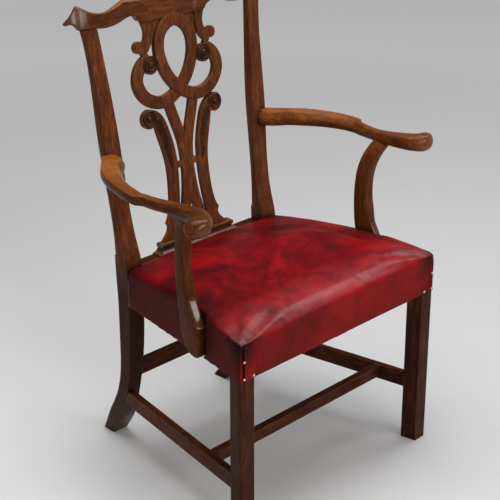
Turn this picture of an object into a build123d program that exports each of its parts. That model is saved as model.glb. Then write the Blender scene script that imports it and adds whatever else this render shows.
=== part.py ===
from build123d import *
import os
from math import atan, cos, degrees, sin

os.makedirs("parts", exist_ok=True)

# Driving dimensions, in millimetres
# Seat frame, measured over the wood
seat_front_width = 590.0
seat_back_width = 450.0
seat_depth = 407.0
rail_bottom = 365.0
rail_height = 60.0
rail_thickness = 24.0
rear_rail_height = 75.0
rear_rail_setback = 6.0
rear_rail_thickness = 36.0

# Front legs
leg_size = 36.0
leg_corner_radius = 5.0
quirk_size = 1.8
quirk_place = 7.5

# Rear legs and stiles, each pair one piece from heel to crest
heel_reach = 553.0
heel_depth = 40.0
heel_width = 38.0
heel_spread = 391.0
heel_taper = 4.0
rear_leg_width = 42.0
rear_leg_depth = 43.0
rear_leg_round = 6.0
knee_depth = 38.0
knee_level = 340.0
shin_setback = 24.0
shin_depth = 37.0
block_top = 470.0
stile_depth = 29.0
stile_top_depth = 22.0
stile_top_width = 34.0
stile_round = 10.0
back_top_width = 494.0
back_lean = 78.0
crest_joint = 947.0

# Crest rail
crest_thickness = 24.0
crest_bow = 13.0
crest_rise = 65.0
ear_spread = 550.0
ear_roll = 24.0
ear_thickness = 9.0
panel_recess = 3.0
panel_half_width = 62.0

# Splat and its shoe
splat_base = 462.0
splat_width = 260.0
splat_thickness = 8.0
splat_setback = 32.0
strap_width = 28.0
centre_strap_width = 25.0
rosette_radius = 20.0
volute_radius = 21.0
comma_radius = 13.0
bridge_height = 14.0
shoe_height = 23.0
shoe_length = 236.0
shoe_depth = 34.0
shoe_setback = 2.0
shoe_cove = 15.0
shoe_bead_step = 12.0
shoe_bead_height = 8.0
shoe_base_height = 3.0

# Stretchers
stretcher_top = 150.0
stretcher_height = 34.0
stretcher_thickness = 15.5
medial_place = 118.0
medial_height = 26.0
medial_thickness = 17.0
rear_stretcher_top = 215.0
rear_stretcher_height = 35.0
rear_stretcher_thickness = 13.0
rear_stretcher_setback = 16.0

# Mortise and tenon joints
tenon_thickness = 9.0
tenon_shoulder = 10.0
tenon_depth = 18.0
tenon_web = 3.0
stretcher_tenon_thickness = 7.0
stretcher_tenon_shoulder = 6.0
stretcher_tenon_depth = 14.0
medial_tenon_depth = 8.0
crest_tenon_width = 16.0
crest_tenon_height = 18.0
splat_tenon_width = 100.0
splat_foot_tenon_width = 160.0
splat_tenon_height = 12.0
splat_tenon_thickness = 4.0
joint_gap = 0.15

# Arms and their supports
arm_top = 695.0
arm_outer_fall = 5.0
arm_outer_edge = 17.0
arm_edge_radius = 6.0
fore_arm_radius = 8.0
support_housing = 8.0
support_foot_thickness = 24.0
support_foot_front = 119.0
support_foot_back = 190.0
support_foot_taper = 3.0
support_foot_round = 58.0
support_scoop_low = 430.0
support_scoop_rise = 40.0
support_scoop_width = 35.0
support_scoop_sag = 8.0
support_edge_radius = 7.0
support_dowel_radius = 7.0
support_dowel_length = 32.0
support_dowel_cover = 18.0
post_margin = 4.0

# Screws and pegs
screw_radius = 2.2
screw_head_radius = 4.2
screw_head_height = 3.0
support_screw_length = 34.0
support_screw_shift = 8.0
arm_screw_length = 58.0
arm_screw_drop = 19.0
arm_screw_inset = 8.0
arm_screw_sink = 3.5
screw_gap = 0.1
peg_radius = 2.2
peg_length = 20.0
peg_drop = 42.0
peg_head = 0.6

# Seat filling and cover
corner_block_length = 40.0
corner_block_height = 35.0
web_width = 50.0
web_thickness = 1.6
web_turn_up = 14.0
web_edge = 4.0
hessian_thickness = 1.0
seat_rise = 25.0
seat_crown_lengthwise = 15.0
seat_crown_crosswise = 8.0
seat_edge_radius = 14.0
cover_thickness = 2.0
cover_gap = 0.3
nail_head_radius = 3.0
nail_dome = 1.8
nail_shank_radius = 0.7
nail_length = 12.0

# Places worked out from the driving dimensions
front_y = (cover_gap + cover_thickness + nail_dome - heel_reach) / 2
rear_y = front_y + seat_depth
splay = (seat_front_width - seat_back_width) / 2 / seat_depth
splay_angle = degrees(atan(splay))
rail_top = rail_bottom + rail_height
rear_rail_top = rail_bottom + rear_rail_height
rear_inner_x = seat_back_width / 2 - rear_leg_width
stile_outer_top = back_top_width / 2
stile_inner_top = stile_outer_top - stile_top_width
stile_mid_top = stile_outer_top - stile_top_width / 2
heel_sweep = heel_reach - seat_depth
stretcher_middle = stretcher_top - stretcher_height / 2
tenon_inset = (rail_thickness - tenon_thickness) / 2
side_tenon_front = leg_size - tenon_inset - tenon_thickness - tenon_web
rear_tenon_middle = rear_rail_setback + rear_rail_thickness / 2
side_tenon_rear = rear_tenon_middle - tenon_thickness / 2 - tenon_web
crest_front_y = rear_y + back_lean
splat_front_y = rear_y + splat_setback
splat_lean = (back_lean + crest_bow - splat_setback) / (crest_joint - splat_base)
cover_out = cover_gap + cover_thickness
seat_edge = rail_top + seat_rise
big = 2 * heel_reach


def plan(distance, inset):
    """Plan point at a distance behind the front face, inset from the right-hand side line."""
    return (seat_front_width / 2 - splay * distance - inset, front_y + distance)


def skew_bar(start, end, outer, inner, low, high):
    """Upright-sided bar that follows the right-hand side line of the seat."""
    with BuildPart() as bar:
        with BuildSketch(Plane.XY.offset(low)):
            Polygon(plan(start, outer), plan(end, outer), plan(end, inner), plan(start, inner), align=None)
        extrude(amount=high - low)
    return bar.part


def block(x_range, y_range, z_range):
    """Box between two values on each axis."""
    with BuildPart() as solid:
        with BuildSketch(Plane.XY.offset(z_range[0])):
            with Locations(((x_range[0] + x_range[1]) / 2, (y_range[0] + y_range[1]) / 2)):
                Rectangle(x_range[1] - x_range[0], y_range[1] - y_range[0])
        extrude(amount=z_range[1] - z_range[0])
    return solid.part


# Rear leg: its side profile and its front profile, each extruded, meet in one blank
stile_middle_y = rear_y + 0.57 * back_lean
stile_middle_z = (block_top + crest_joint) / 2
with BuildPart() as rear_leg_blank:
    with BuildSketch(Plane.YZ):
        with BuildLine():
            Spline(
                (rear_y + heel_sweep - heel_depth, 0),
                (rear_y + 0.32 * heel_sweep, 0.6 * stretcher_middle),
                (rear_y + shin_setback, stretcher_middle),
                (rear_y, knee_level),
                tangents=((-0.8, 1), (0, 1)),
            )
            Line((rear_y, knee_level), (rear_y, rail_top))
            Spline(
                (rear_y, rail_top),
                (rear_y + 0.2 * back_lean, block_top + 0.06 * (crest_joint - block_top)),
                (stile_middle_y, stile_middle_z),
                (crest_front_y, crest_joint),
                tangents=((0, 1), (0.14, 1)),
            )
            Line((crest_front_y, crest_joint), (crest_front_y + stile_top_depth, crest_joint))
            Spline(
                (crest_front_y + stile_top_depth, crest_joint),
                (stile_middle_y + stile_depth, stile_middle_z),
                (rear_y + rear_leg_depth, block_top),
                tangents=((-0.14, -1), (0, -1)),
            )
            Spline(
                (rear_y + rear_leg_depth, block_top),
                (rear_y + knee_depth, knee_level),
                tangents=((0, -1), (0, -1)),
            )
            Spline(
                (rear_y + knee_depth, knee_level),
                (rear_y + shin_setback + shin_depth, stretcher_middle),
                (rear_y + 0.69 * heel_sweep, 0.53 * stretcher_middle),
                (rear_y + heel_sweep, 0),
                tangents=((0, -1), (0.7, -1)),
            )
            Line((rear_y + heel_sweep, 0), (rear_y + heel_sweep - heel_depth, 0))
        make_face()
    extrude(amount=big)
    with BuildSketch(Plane.XZ):
        with BuildLine():
            outer_x = seat_back_width / 2
            Spline(
                (heel_spread / 2, 0),
                (outer_x - heel_taper, stretcher_middle),
                (outer_x, knee_level),
                tangents=((0.25, 1), (0, 1)),
            )
            Line((outer_x, knee_level), (outer_x, rear_rail_top))
            Spline(
                (outer_x, rear_rail_top),
                (outer_x + 0.36 * (stile_outer_top - outer_x), stile_middle_z),
                (stile_outer_top, crest_joint),
                tangents=((0, 1), (0.2, 1)),
            )
            Line((stile_outer_top, crest_joint), (stile_inner_top, crest_joint))
            Spline(
                (stile_inner_top, crest_joint),
                (rear_inner_x + 0.38 * (stile_inner_top - rear_inner_x), stile_middle_z),
                (rear_inner_x, rear_rail_top),
                tangents=((-0.1, -1), (0, -1)),
            )
            Line((rear_inner_x, rear_rail_top), (rear_inner_x, knee_level))
            Spline(
                (rear_inner_x, knee_level),
                (outer_x - heel_taper / 2 - heel_width, stretcher_middle),
                (heel_spread / 2 - heel_width, 0),
                tangents=((0, -1), (-0.25, -1)),
            )
            Line((heel_spread / 2 - heel_width, 0), (heel_spread / 2, 0))
        make_face()
    extrude(amount=big, both=True, mode=Mode.INTERSECT)

# The back corners are rounded, more on the stile than on the leg below the seat
with BuildPart() as stile_upper:
    add(rear_leg_blank.part)
    split(bisect_by=Plane.XY.offset(block_top), keep=Keep.TOP)
    long_edges = stile_upper.edges().filter_by(lambda e: e.length > (crest_joint - block_top) / 2)
    fillet(long_edges.sort_by(Axis.Y)[-2:], radius=stile_round)
with BuildPart() as leg_lower:
    add(rear_leg_blank.part)
    split(bisect_by=Plane.XY.offset(block_top), keep=Keep.BOTTOM)
    back_edges = leg_lower.edges().filter_by(
        lambda e: e.length > 2 * rear_leg_depth and (e @ 0.5).Y > rear_y + knee_depth - 1
    )
    fillet(back_edges, radius=rear_leg_round)

# Side seat rail with a tenon at each end and a housing for the arm support
side_rail_body = skew_bar(leg_size, seat_depth, 0, rail_thickness, rail_bottom, rail_top)


def side_rail_tenons(gap):
    """Both tenons of the side rail as one through bar, larger by the gap for the mortises."""
    return skew_bar(
        leg_size - side_tenon_front - gap,
        seat_depth + side_tenon_rear + gap,
        tenon_inset - gap,
        tenon_inset + tenon_thickness + gap,
        rail_bottom + tenon_shoulder - gap,
        rail_top - tenon_shoulder + gap,
    )


support_plane = Plane(
    origin=(seat_front_width / 2, front_y, 0), x_dir=(-splay, 1, 0), z_dir=(1, splay, 0)
)
housing_plane = support_plane.offset(-support_housing)


def foot_outline(gap, low, turns):
    """Line round the foot of a support, out by a gap, through the turns given from its front to its back."""
    round_back = (support_foot_back + gap, rail_bottom + support_foot_round)
    round_low = (support_foot_back - support_foot_round, rail_bottom - gap)
    Polyline((round_low[0], low), (support_foot_front - gap, low), *turns, round_back)
    RadiusArc(round_back, round_low, support_foot_round + gap)
    Line(round_low, (round_low[0], low))


with BuildPart() as support_housing_cut:
    with BuildSketch(housing_plane):
        with BuildLine():
            foot_outline(
                joint_gap,
                rail_bottom - 1,
                [
                    (support_foot_front - joint_gap, rail_top + 1),
                    (support_foot_back + joint_gap, rail_top + 1),
                ],
            )
        make_face()
    extrude(amount=2 * support_housing)

# Support screws run from the inside of the rail into the foot of the support
screw_plane = support_plane.offset(-rail_thickness)
screw_along = (support_foot_front + support_foot_back) / 2 + support_screw_shift
screw_levels = (rail_bottom + 0.35 * rail_height, rail_bottom + 0.75 * rail_height)


def screw(plane, points, length, gap):
    """Countersunk screws driven along the plane's normal at the points, larger by the gap."""
    with BuildPart() as screws:
        with BuildSketch(plane):
            with Locations(*points):
                Circle(screw_radius + gap)
        extrude(amount=length + gap)
        with BuildSketch(plane):
            with Locations(*points):
                Circle(screw_head_radius + gap)
        extrude(amount=screw_head_height + gap)
    return screws.part


support_screw_points = [(screw_along, level) for level in screw_levels]
support_screw_holes = screw(screw_plane, support_screw_points, support_screw_length, screw_gap)

mortise_side = side_rail_tenons(joint_gap)
tenons_side = side_rail_tenons(0)
with BuildPart() as side_seat_rail_right:
    add(side_rail_body)
    add(tenons_side)
    add(support_housing_cut.part, mode=Mode.SUBTRACT)
    add(support_screw_holes, mode=Mode.SUBTRACT)

# Front seat rail between the front legs
def front_rail_tenon(gap):
    """Tenon at the right-hand end of the front rail."""
    return skew_bar(
        tenon_inset - gap,
        tenon_inset + tenon_thickness + gap,
        leg_size - tenon_depth - gap,
        leg_size + tenon_depth,
        rail_bottom + tenon_shoulder - gap,
        rail_top - tenon_shoulder + gap,
    )


front_tenon = front_rail_tenon(0)
front_mortise = front_rail_tenon(joint_gap)
with BuildPart() as front_seat_rail:
    with BuildSketch(Plane.XY.offset(rail_bottom)):
        front_right = plan(0, leg_size)
        back_right = plan(rail_thickness, leg_size)
        Polygon(
            front_right,
            back_right,
            (-back_right[0], back_right[1]),
            (-front_right[0], front_right[1]),
            align=None,
        )
    extrude(amount=rail_height)
    add(front_tenon)
    mirror(front_tenon, about=Plane.YZ)

# Rear seat rail between the rear legs
rear_rail_front = rear_y + rear_rail_setback
rear_rail_back = rear_rail_front + rear_rail_thickness
tenon_front_y = rear_y + rear_tenon_middle - tenon_thickness / 2
tenon_back_y = rear_y + rear_tenon_middle + tenon_thickness / 2
rear_tenon_top = rear_rail_top - tenon_shoulder
rear_tenon_end = rear_inner_x + tenon_depth
rear_mortise = block(
    (rear_inner_x - joint_gap, rear_tenon_end + joint_gap),
    (tenon_front_y - joint_gap, tenon_back_y + joint_gap),
    (rail_bottom + tenon_shoulder - joint_gap, rear_tenon_top + joint_gap),
)
rear_tenons = block(
    (-rear_tenon_end, rear_tenon_end),
    (tenon_front_y, tenon_back_y),
    (rail_bottom + tenon_shoulder, rear_tenon_top),
)
rear_rail_body = block(
    (-rear_inner_x, rear_inner_x), (rear_rail_front, rear_rail_back), (rail_bottom, rear_rail_top)
)
with BuildPart() as rear_seat_rail:
    add(rear_rail_body)
    add(rear_tenons)

# Side stretchers, flush with the outer faces of the legs
stretcher_bottom = stretcher_top - stretcher_height
stretcher_tenon_inset = (stretcher_thickness - stretcher_tenon_thickness) / 2
stretcher_rear_end = seat_depth + shin_setback + stretcher_tenon_depth
stretcher_body = skew_bar(
    leg_size, stretcher_rear_end, 0, stretcher_thickness, stretcher_bottom, stretcher_top
)


def stretcher_tenons(gap):
    """Both tenons of a side stretcher as one through bar."""
    return skew_bar(
        leg_size - stretcher_tenon_depth - gap,
        stretcher_rear_end + gap,
        stretcher_tenon_inset - gap,
        stretcher_tenon_inset + stretcher_tenon_thickness + gap,
        stretcher_bottom + stretcher_tenon_shoulder - gap,
        stretcher_top - stretcher_tenon_shoulder + gap,
    )


# Medial stretcher, tenoned into the side stretchers
medial_front = medial_place - medial_thickness / 2
medial_back = medial_place + medial_thickness / 2
medial_tenon_front = medial_place - stretcher_tenon_thickness / 2
medial_tenon_back = medial_place + stretcher_tenon_thickness / 2


def medial_tenon(gap):
    """Tenon at the right-hand end of the medial stretcher."""
    return skew_bar(
        medial_tenon_front - gap,
        medial_tenon_back + gap,
        stretcher_thickness - medial_tenon_depth - gap,
        stretcher_thickness + medial_tenon_depth,
        stretcher_top - medial_height + stretcher_tenon_shoulder - gap,
        stretcher_top - stretcher_tenon_shoulder + gap,
    )


medial_end = medial_tenon(0)
medial_mortise = medial_tenon(joint_gap)
with BuildPart() as medial_stretcher:
    with BuildSketch(Plane.XY.offset(stretcher_top - medial_height)):
        front_right = plan(medial_front, stretcher_thickness)
        back_right = plan(medial_back, stretcher_thickness)
        Polygon(
            front_right,
            back_right,
            (-back_right[0], back_right[1]),
            (-front_right[0], front_right[1]),
            align=None,
        )
    extrude(amount=medial_height)
    add(medial_end)
    mirror(medial_end, about=Plane.YZ)

stretcher_tenon_bar = stretcher_tenons(0)
stretcher_mortise = stretcher_tenons(joint_gap)
with BuildPart() as side_stretcher_right:
    add(stretcher_body)
    add(rear_leg_blank.part, mode=Mode.SUBTRACT)
    add(stretcher_tenon_bar)
    add(medial_mortise, mode=Mode.SUBTRACT)

# Rear stretcher, higher than the others, between the rear legs
rear_stretcher_front = rear_y + rear_stretcher_setback
rear_stretcher_back = rear_stretcher_front + rear_stretcher_thickness
rear_stretcher_bottom = rear_stretcher_top - rear_stretcher_height
rear_stretcher_reach = rear_inner_x + stretcher_tenon_depth
rear_stretcher_tenon_y = (rear_stretcher_front + rear_stretcher_back) / 2


def rear_stretcher_tenons(gap):
    """Both tenons of the rear stretcher as one through bar."""
    half = stretcher_tenon_thickness / 2 + gap
    return block(
        (-rear_stretcher_reach - gap, rear_stretcher_reach + gap),
        (rear_stretcher_tenon_y - half, rear_stretcher_tenon_y + half),
        (
            rear_stretcher_bottom + stretcher_tenon_shoulder - gap,
            rear_stretcher_top - stretcher_tenon_shoulder + gap,
        ),
    )


rear_stretcher_body = block(
    (-rear_stretcher_reach, rear_stretcher_reach),
    (rear_stretcher_front, rear_stretcher_back),
    (rear_stretcher_bottom, rear_stretcher_top),
)
rear_stretcher_bar = rear_stretcher_tenons(0)
rear_stretcher_mortise = rear_stretcher_tenons(joint_gap)
rear_leg_blank_left = mirror(rear_leg_blank.part, about=Plane.YZ)
with BuildPart() as rear_stretcher:
    add(rear_stretcher_body)
    add(rear_leg_blank.part, mode=Mode.SUBTRACT)
    add(rear_leg_blank_left, mode=Mode.SUBTRACT)
    add(rear_stretcher_bar)

# Front leg with a beaded outer corner
with BuildPart() as front_leg_right:
    with BuildSketch():
        Polygon(plan(0, 0), plan(leg_size, 0), plan(leg_size, leg_size), plan(0, leg_size), align=None)
    extrude(amount=rail_top)
    upright = front_leg_right.edges().filter_by(Axis.Z)
    fillet(upright.sort_by(lambda e: e.center().X - e.center().Y)[-1], radius=leg_corner_radius)
    with BuildSketch():
        with Locations(plan(0, quirk_place), plan(quirk_place, 0)):
            Rectangle(quirk_size, quirk_size, rotation=splay_angle)
    extrude(amount=rail_bottom, mode=Mode.SUBTRACT)
    add(mortise_side, mode=Mode.SUBTRACT)
    add(front_mortise, mode=Mode.SUBTRACT)
    add(stretcher_mortise, mode=Mode.SUBTRACT)

# Splat: a pierced board that leans back, drawn on its own front plane
lean_angle = atan(splat_lean)
splat_plane = Plane(
    origin=(0, splat_front_y, splat_base),
    x_dir=(1, 0, 0),
    z_dir=(0, -cos(lean_angle), sin(lean_angle)),
)
drawing_width = 260.0
drawing_height = 485.0
across = splat_width / drawing_width
upward = (crest_joint - splat_base) / cos(lean_angle) / drawing_height


def spot(x, height):
    """Point of the splat's drawing, fitted to its real width and height."""
    return (x * across, height * upward)


splat_top = spot(0, drawing_height)[1]
interlace_points = [
    spot(78, 396),
    spot(100, 386),
    spot(114.5, 355),
    spot(96, 318),
    spot(55, 302),
    spot(20, 310),
    spot(0, 323),
    spot(-22, 344),
    spot(-40, 376),
    spot(-47.5, 413),
    spot(-36, 450),
    spot(0, 470),
    spot(36, 450),
]
centre_points = [
    spot(34.5, 293),
    spot(22, 253),
    spot(10, 213),
    spot(5, 173),
    spot(4.5, 148),
    spot(7, 113),
    spot(14, 73),
    spot(25, 35),
]
with BuildPart() as splat:
    with BuildSketch(splat_plane):
        # Interlaced strap: round a side loop, across the middle and over the oval
        with BuildLine() as interlace:
            Spline(*interlace_points)
        trace(interlace.line, line_width=strap_width)
        # Centre straps that part above and below the waist
        with BuildLine() as centre:
            Spline(*centre_points)
        trace(centre.line, line_width=centre_strap_width)
        # Outer strap that ends in a volute
        with BuildLine():
            Spline(
                spot(42, 36), spot(35, 78), spot(31, 118), spot(30, 158),
                spot(33, 198), spot(43, 238), spot(62, 278), spot(86, 292),
            )
            Line(spot(86, 292), spot(82, 257))
            Spline(
                spot(82, 257), spot(72, 218), spot(62, 178), spot(59, 138),
                spot(61, 98), spot(68, 58), spot(78, 38),
            )
            Line(spot(78, 38), spot(42, 36))
        make_face()
        with Locations(spot(95, 273)):
            Circle(volute_radius)
        # Bridge from the outer strap to the centre
        with Locations(spot(23, 159)):
            Rectangle(abs(spot(22, 0)[0]), bridge_height)
        # Stem and comma that hang from the crest, and the rosette beside them
        with BuildLine():
            Line(spot(62, 485), spot(62, 453))
            Spline(spot(62, 453), spot(66, 431), spot(76, 416), spot(92, 403))
            Line(spot(92, 403), spot(103, 420))
            Line(spot(103, 420), spot(94, 432))
            Spline(spot(94, 432), spot(84, 443), spot(83, 460), spot(95, 485))
            Line(spot(95, 485), spot(62, 485))
        make_face()
        with Locations(spot(103, 426)):
            Circle(comma_radius)
        with Locations(spot(76, 385)):
            Circle(rosette_radius)
        # Foot of the splat with its cusps
        with BuildLine():
            Line(spot(0, 0), spot(96, 0))
            Spline(spot(96, 0), spot(84, 12), spot(76, 22), spot(74, 31))
            Line(spot(74, 31), spot(78, 40))
            Line(spot(78, 40), spot(0, 36))
            Line(spot(0, 36), spot(0, 0))
        make_face()
        mirror(about=Plane.YZ)
    extrude(amount=-splat_thickness)
    # Sunk ground between the stems and the oval
    with BuildSketch(splat_plane.offset(-panel_recess)):
        Polygon(
            spot(0, 485), spot(66, 485), spot(66, 431), spot(54, 424),
            spot(47, 418), spot(36, 450), spot(0, 470),
            align=None,
        )
        mirror(about=Plane.YZ)
    extrude(amount=panel_recess - splat_thickness)
    # Tenons into the crest rail and into the shoe
    with BuildSketch(splat_plane.offset((splat_tenon_thickness - splat_thickness) / 2)):
        with Locations((0, splat_top)):
            Rectangle(splat_tenon_width, splat_tenon_height, align=(Align.CENTER, Align.MIN))
        Rectangle(splat_foot_tenon_width, splat_tenon_height, align=(Align.CENTER, Align.MAX))
    extrude(amount=-splat_tenon_thickness)

with BuildPart() as splat_mortise:
    with BuildSketch(splat_plane.offset((splat_tenon_thickness - splat_thickness) / 2 + joint_gap)):
        with Locations((0, splat_top)):
            Rectangle(
                splat_tenon_width + 2 * joint_gap,
                2 * splat_tenon_height + 2 * joint_gap,
            )
    extrude(amount=-splat_tenon_thickness - 2 * joint_gap)

# Slot in the shoe for the splat's foot and its tenon
splat_foot_width = 2 * spot(96, 0)[0]
with BuildPart() as splat_slot:
    with BuildSketch(splat_plane.offset(joint_gap)):
        with Locations((0, -joint_gap)):
            Rectangle(splat_foot_width + 2 * joint_gap, shoe_height, align=(Align.CENTER, Align.MIN))
    extrude(amount=-splat_thickness - 2 * joint_gap)
    with BuildSketch(splat_plane.offset((splat_tenon_thickness - splat_thickness) / 2 + joint_gap)):
        Rectangle(
            splat_foot_tenon_width + 2 * joint_gap,
            splat_tenon_height + joint_gap,
            align=(Align.CENTER, Align.MAX),
        )
    extrude(amount=-splat_tenon_thickness - 2 * joint_gap)

# Shoe on the rear rail, coved round its front and ends
shoe_back = rear_rail_front + shoe_setback + shoe_depth
bead_bottom = rear_rail_top + shoe_height - shoe_bead_height
cove_bottom = rear_rail_top + shoe_base_height
cove_shares = (0.0, 0.04, 0.12, 0.25, 0.42, 0.65, 1.0)
shoe_levels = [
    (cove_bottom + share * (bead_bottom - cove_bottom), shoe_cove * (1 - (1 - share) ** 2) ** 0.5)
    for share in cove_shares
]


def shoe_outline(step):
    """Plan of the shoe, stepped in from its base at the front and the two ends."""
    with Locations((0, shoe_back)):
        Rectangle(shoe_length - 2 * step, shoe_depth - step, align=(Align.CENTER, Align.MAX))


with BuildPart() as splat_shoe:
    with BuildSketch(Plane.XY.offset(rear_rail_top)):
        shoe_outline(0)
    extrude(amount=shoe_base_height)
    for level, step in shoe_levels:
        with BuildSketch(Plane.XY.offset(level)):
            shoe_outline(step)
    loft(ruled=True)
    with BuildSketch(Plane.XY.offset(bead_bottom)):
        shoe_outline(shoe_bead_step)
    extrude(amount=shoe_bead_height)
    add(splat_slot.part, mode=Mode.SUBTRACT)

# Crest rail: a bowed, leaning board cut to the crest's outline
crest_drawing_width = 494.0
crest_drawing_rise = 65.0
crest_across = back_top_width / crest_drawing_width
crest_upward = crest_rise / crest_drawing_rise
ear_tip = ear_spread / 2


def crest_spot(x, height):
    """Point of the crest's drawing, fitted to its real width and rise."""
    return (x * crest_across, crest_joint + height * crest_upward)


def rail_edge(share, height):
    """Point of the underside, by its share of the way from the splat to the stile."""
    return (splat_shoulder + share * (stile_inner_top - splat_shoulder), crest_spot(0, height)[1])


def top_edge(share, height):
    """Point of the top edge, by its share of the way from the middle to the stile's outer face."""
    return (share * stile_outer_top, crest_spot(0, height)[1])


def ear_edge(share, height):
    """Point of the ear, by its share of the way from the stile's outer face to the ear's tip."""
    return (stile_outer_top + share * (ear_tip - stile_outer_top), crest_spot(0, height)[1])


def crest_band(thickness, tip_thickness):
    """Board that follows the bow of the crest, thinned at the ears, its thickness measured from the front."""
    half = [
        (0, crest_bow),
        (0.5 * stile_mid_top, 0.72 * crest_bow),
        (stile_mid_top, 0),
        (0.55 * stile_mid_top + 0.45 * ear_tip, 0.26 * ear_roll),
        (ear_tip + crest_thickness / 4, ear_roll),
    ]
    depths = [thickness, thickness, thickness, 0.6 * thickness + 0.4 * tip_thickness, tip_thickness]
    back = [(x, y + depth) for (x, y), depth in zip(half, depths)]
    whole = [(-x, y) for x, y in reversed(half[1:])] + half
    whole_back = [(-x, y) for x, y in reversed(back[1:])] + back
    with BuildPart() as band:
        with BuildSketch(Plane.XY.offset(crest_joint)):
            with BuildLine():
                Spline(*[(x, crest_front_y + y) for x, y in whole])
                Spline(*[(x, crest_front_y + y) for x, y in whole_back])
                for (x, y), (x_back, y_back) in ((whole[0], whole_back[0]), (whole[-1], whole_back[-1])):
                    Line((x, crest_front_y + y), (x_back, crest_front_y + y_back))
            make_face()
        extrude(amount=2 * crest_rise, dir=(0, splat_lean, 1))
    return band.part


crest_board = crest_band(crest_thickness, ear_thickness)
panel_skin = crest_band(panel_recess, panel_recess)
with BuildPart() as crest_panel:
    add(panel_skin)
    with BuildSketch(Plane.XZ):
        with BuildLine():
            Line((0, crest_joint), (panel_half_width, crest_joint))
            Spline(
                (panel_half_width, crest_joint), crest_spot(70, 24), crest_spot(92, 39),
                crest_spot(118, 41), crest_spot(142, 46),
            )
            Line(crest_spot(142, 46), crest_spot(142, 80))
            Line(crest_spot(142, 80), crest_spot(0, 80))
            Line(crest_spot(0, 80), (0, crest_joint))
        make_face()
    extrude(amount=big, both=True, mode=Mode.INTERSECT)
crest_panel_left = mirror(crest_panel.part, about=Plane.YZ)

with BuildPart() as crest_tenon:
    with BuildSketch(Plane.XY.offset(crest_joint)):
        with Locations((stile_mid_top, crest_front_y + crest_thickness / 2)):
            Rectangle(crest_tenon_width, tenon_thickness)
    extrude(amount=crest_tenon_height)
with BuildPart() as crest_mortise:
    with BuildSketch(Plane.XY.offset(crest_joint - joint_gap)):
        with Locations((stile_mid_top, crest_front_y + crest_thickness / 2)):
            Rectangle(crest_tenon_width + 2 * joint_gap, tenon_thickness + 2 * joint_gap)
    extrude(amount=crest_tenon_height + 2 * joint_gap)
crest_mortise_left = mirror(crest_mortise.part, about=Plane.YZ)

splat_shoulder = spot(95, 0)[0]
with BuildPart() as crest_rail:
    add(crest_board)
    with BuildSketch(Plane.XZ):
        with BuildLine():
            Line((0, crest_joint), (splat_shoulder, crest_joint))
            Spline(
                (splat_shoulder, crest_joint), rail_edge(0.17, 9), rail_edge(0.45, 2),
                rail_edge(0.74, -3), (stile_inner_top, crest_joint),
            )
            Line((stile_inner_top, crest_joint), (stile_outer_top, crest_joint))
            Spline((stile_outer_top, crest_joint), ear_edge(0.32, 9), ear_edge(0.68, 15), ear_edge(1, 12))
            Spline(ear_edge(1, 12), ear_edge(1.07, 18), ear_edge(0.6, 33), ear_edge(0.2, 50))
            Spline(
                ear_edge(0.2, 50), top_edge(0.97, 45), top_edge(0.9, 35), top_edge(0.77, 29),
                top_edge(0.64, 34), top_edge(0.486, 48), top_edge(0.243, 61), crest_spot(0, 65),
                tangents=((-1, -0.2), (-1, 0)),
            )
            Line(crest_spot(0, 65), (0, crest_joint))
        make_face()
        mirror(about=Plane.YZ)
    extrude(amount=big, both=True, mode=Mode.INTERSECT)
    add(crest_panel.part, mode=Mode.SUBTRACT)
    add(crest_panel_left, mode=Mode.SUBTRACT)
    add(splat_mortise.part, mode=Mode.SUBTRACT)
    add(crest_mortise.part, mode=Mode.SUBTRACT)
    add(crest_mortise_left, mode=Mode.SUBTRACT)

# Arm: a broad curved back part and a narrower fore-arm that ends in an outward scroll
arm_drawing_depth = 407.0
arm_stretch = seat_depth / arm_drawing_depth
# Distance behind the front, inner and outer edge from the side line, drop, inner thickness
arm_back_sections = [
    (462, -21, 8, 0, 36),
    (449, -15, 20, 0, 36),
    (438, -10, 35, 0, 36),
    (420, -1, 49, 0, 35),
    (390, 18, 70, 0, 35),
    (360, 30, 81, 1, 34),
    (330, 42, 86, 2, 33),
    (300, 48, 88, 3, 32),
    (270, 49, 87, 5, 30),
    (240, 47, 81, 8, 28),
]
# Distance, centre out from the side line, heading in x and y, width, drop, thickness
fore_arm_sections = [
    (243, 60, 0, -1, 27, 10, 27),
    (215, 49, -0.1, -1, 28, 11, 26),
    (190, 38.7, -0.1, -1, 28, 11, 25),
    (165, 31, 0, -1, 29, 11, 25),
    (140, 26.6, 0, -1, 32, 10, 28),
    (112, 24.3, 0.1, -1, 36, 8, 32),
    (87, 28.6, 0.45, -0.9, 40, 6, 36),
    (72, 42, 0.95, -0.3, 42, 5, 39),
    (76, 59, 0.8, 0.6, 34, 7, 35),
    (85, 67, 0.5, 0.86, 18, 12, 24),
]
with BuildPart() as arm_back_part:
    for distance, inner, outer, drop, thickness in arm_back_sections:
        x, y = plan(distance * arm_stretch, 0)
        with BuildSketch(
            Plane(origin=(x, y, arm_top - drop), x_dir=(1, 0, 0), z_dir=(0, -1, 0))
        ) as section:
            Polygon(
                (inner, -thickness),
                (outer, -arm_outer_fall - arm_outer_edge),
                (outer, -arm_outer_fall),
                (inner, 0),
                align=None,
            )
            fillet(section.vertices(), radius=arm_edge_radius)
    loft()
with BuildPart() as fore_arm:
    for distance, offset_out, toward_x, toward_y, width, drop, thickness in fore_arm_sections:
        x, y = plan(distance * arm_stretch, -offset_out)
        centre_z = arm_top - drop - thickness / 2
        with BuildSketch(
            Plane(origin=(x, y, centre_z), x_dir=(-toward_y, toward_x, 0), z_dir=(toward_x, toward_y, 0))
        ):
            RectangleRounded(width, thickness, fore_arm_radius)
    loft()

with BuildPart() as arm_body:
    add(arm_back_part.part)
    add(fore_arm.part)
    add(rear_leg_blank.part, mode=Mode.SUBTRACT)

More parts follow.
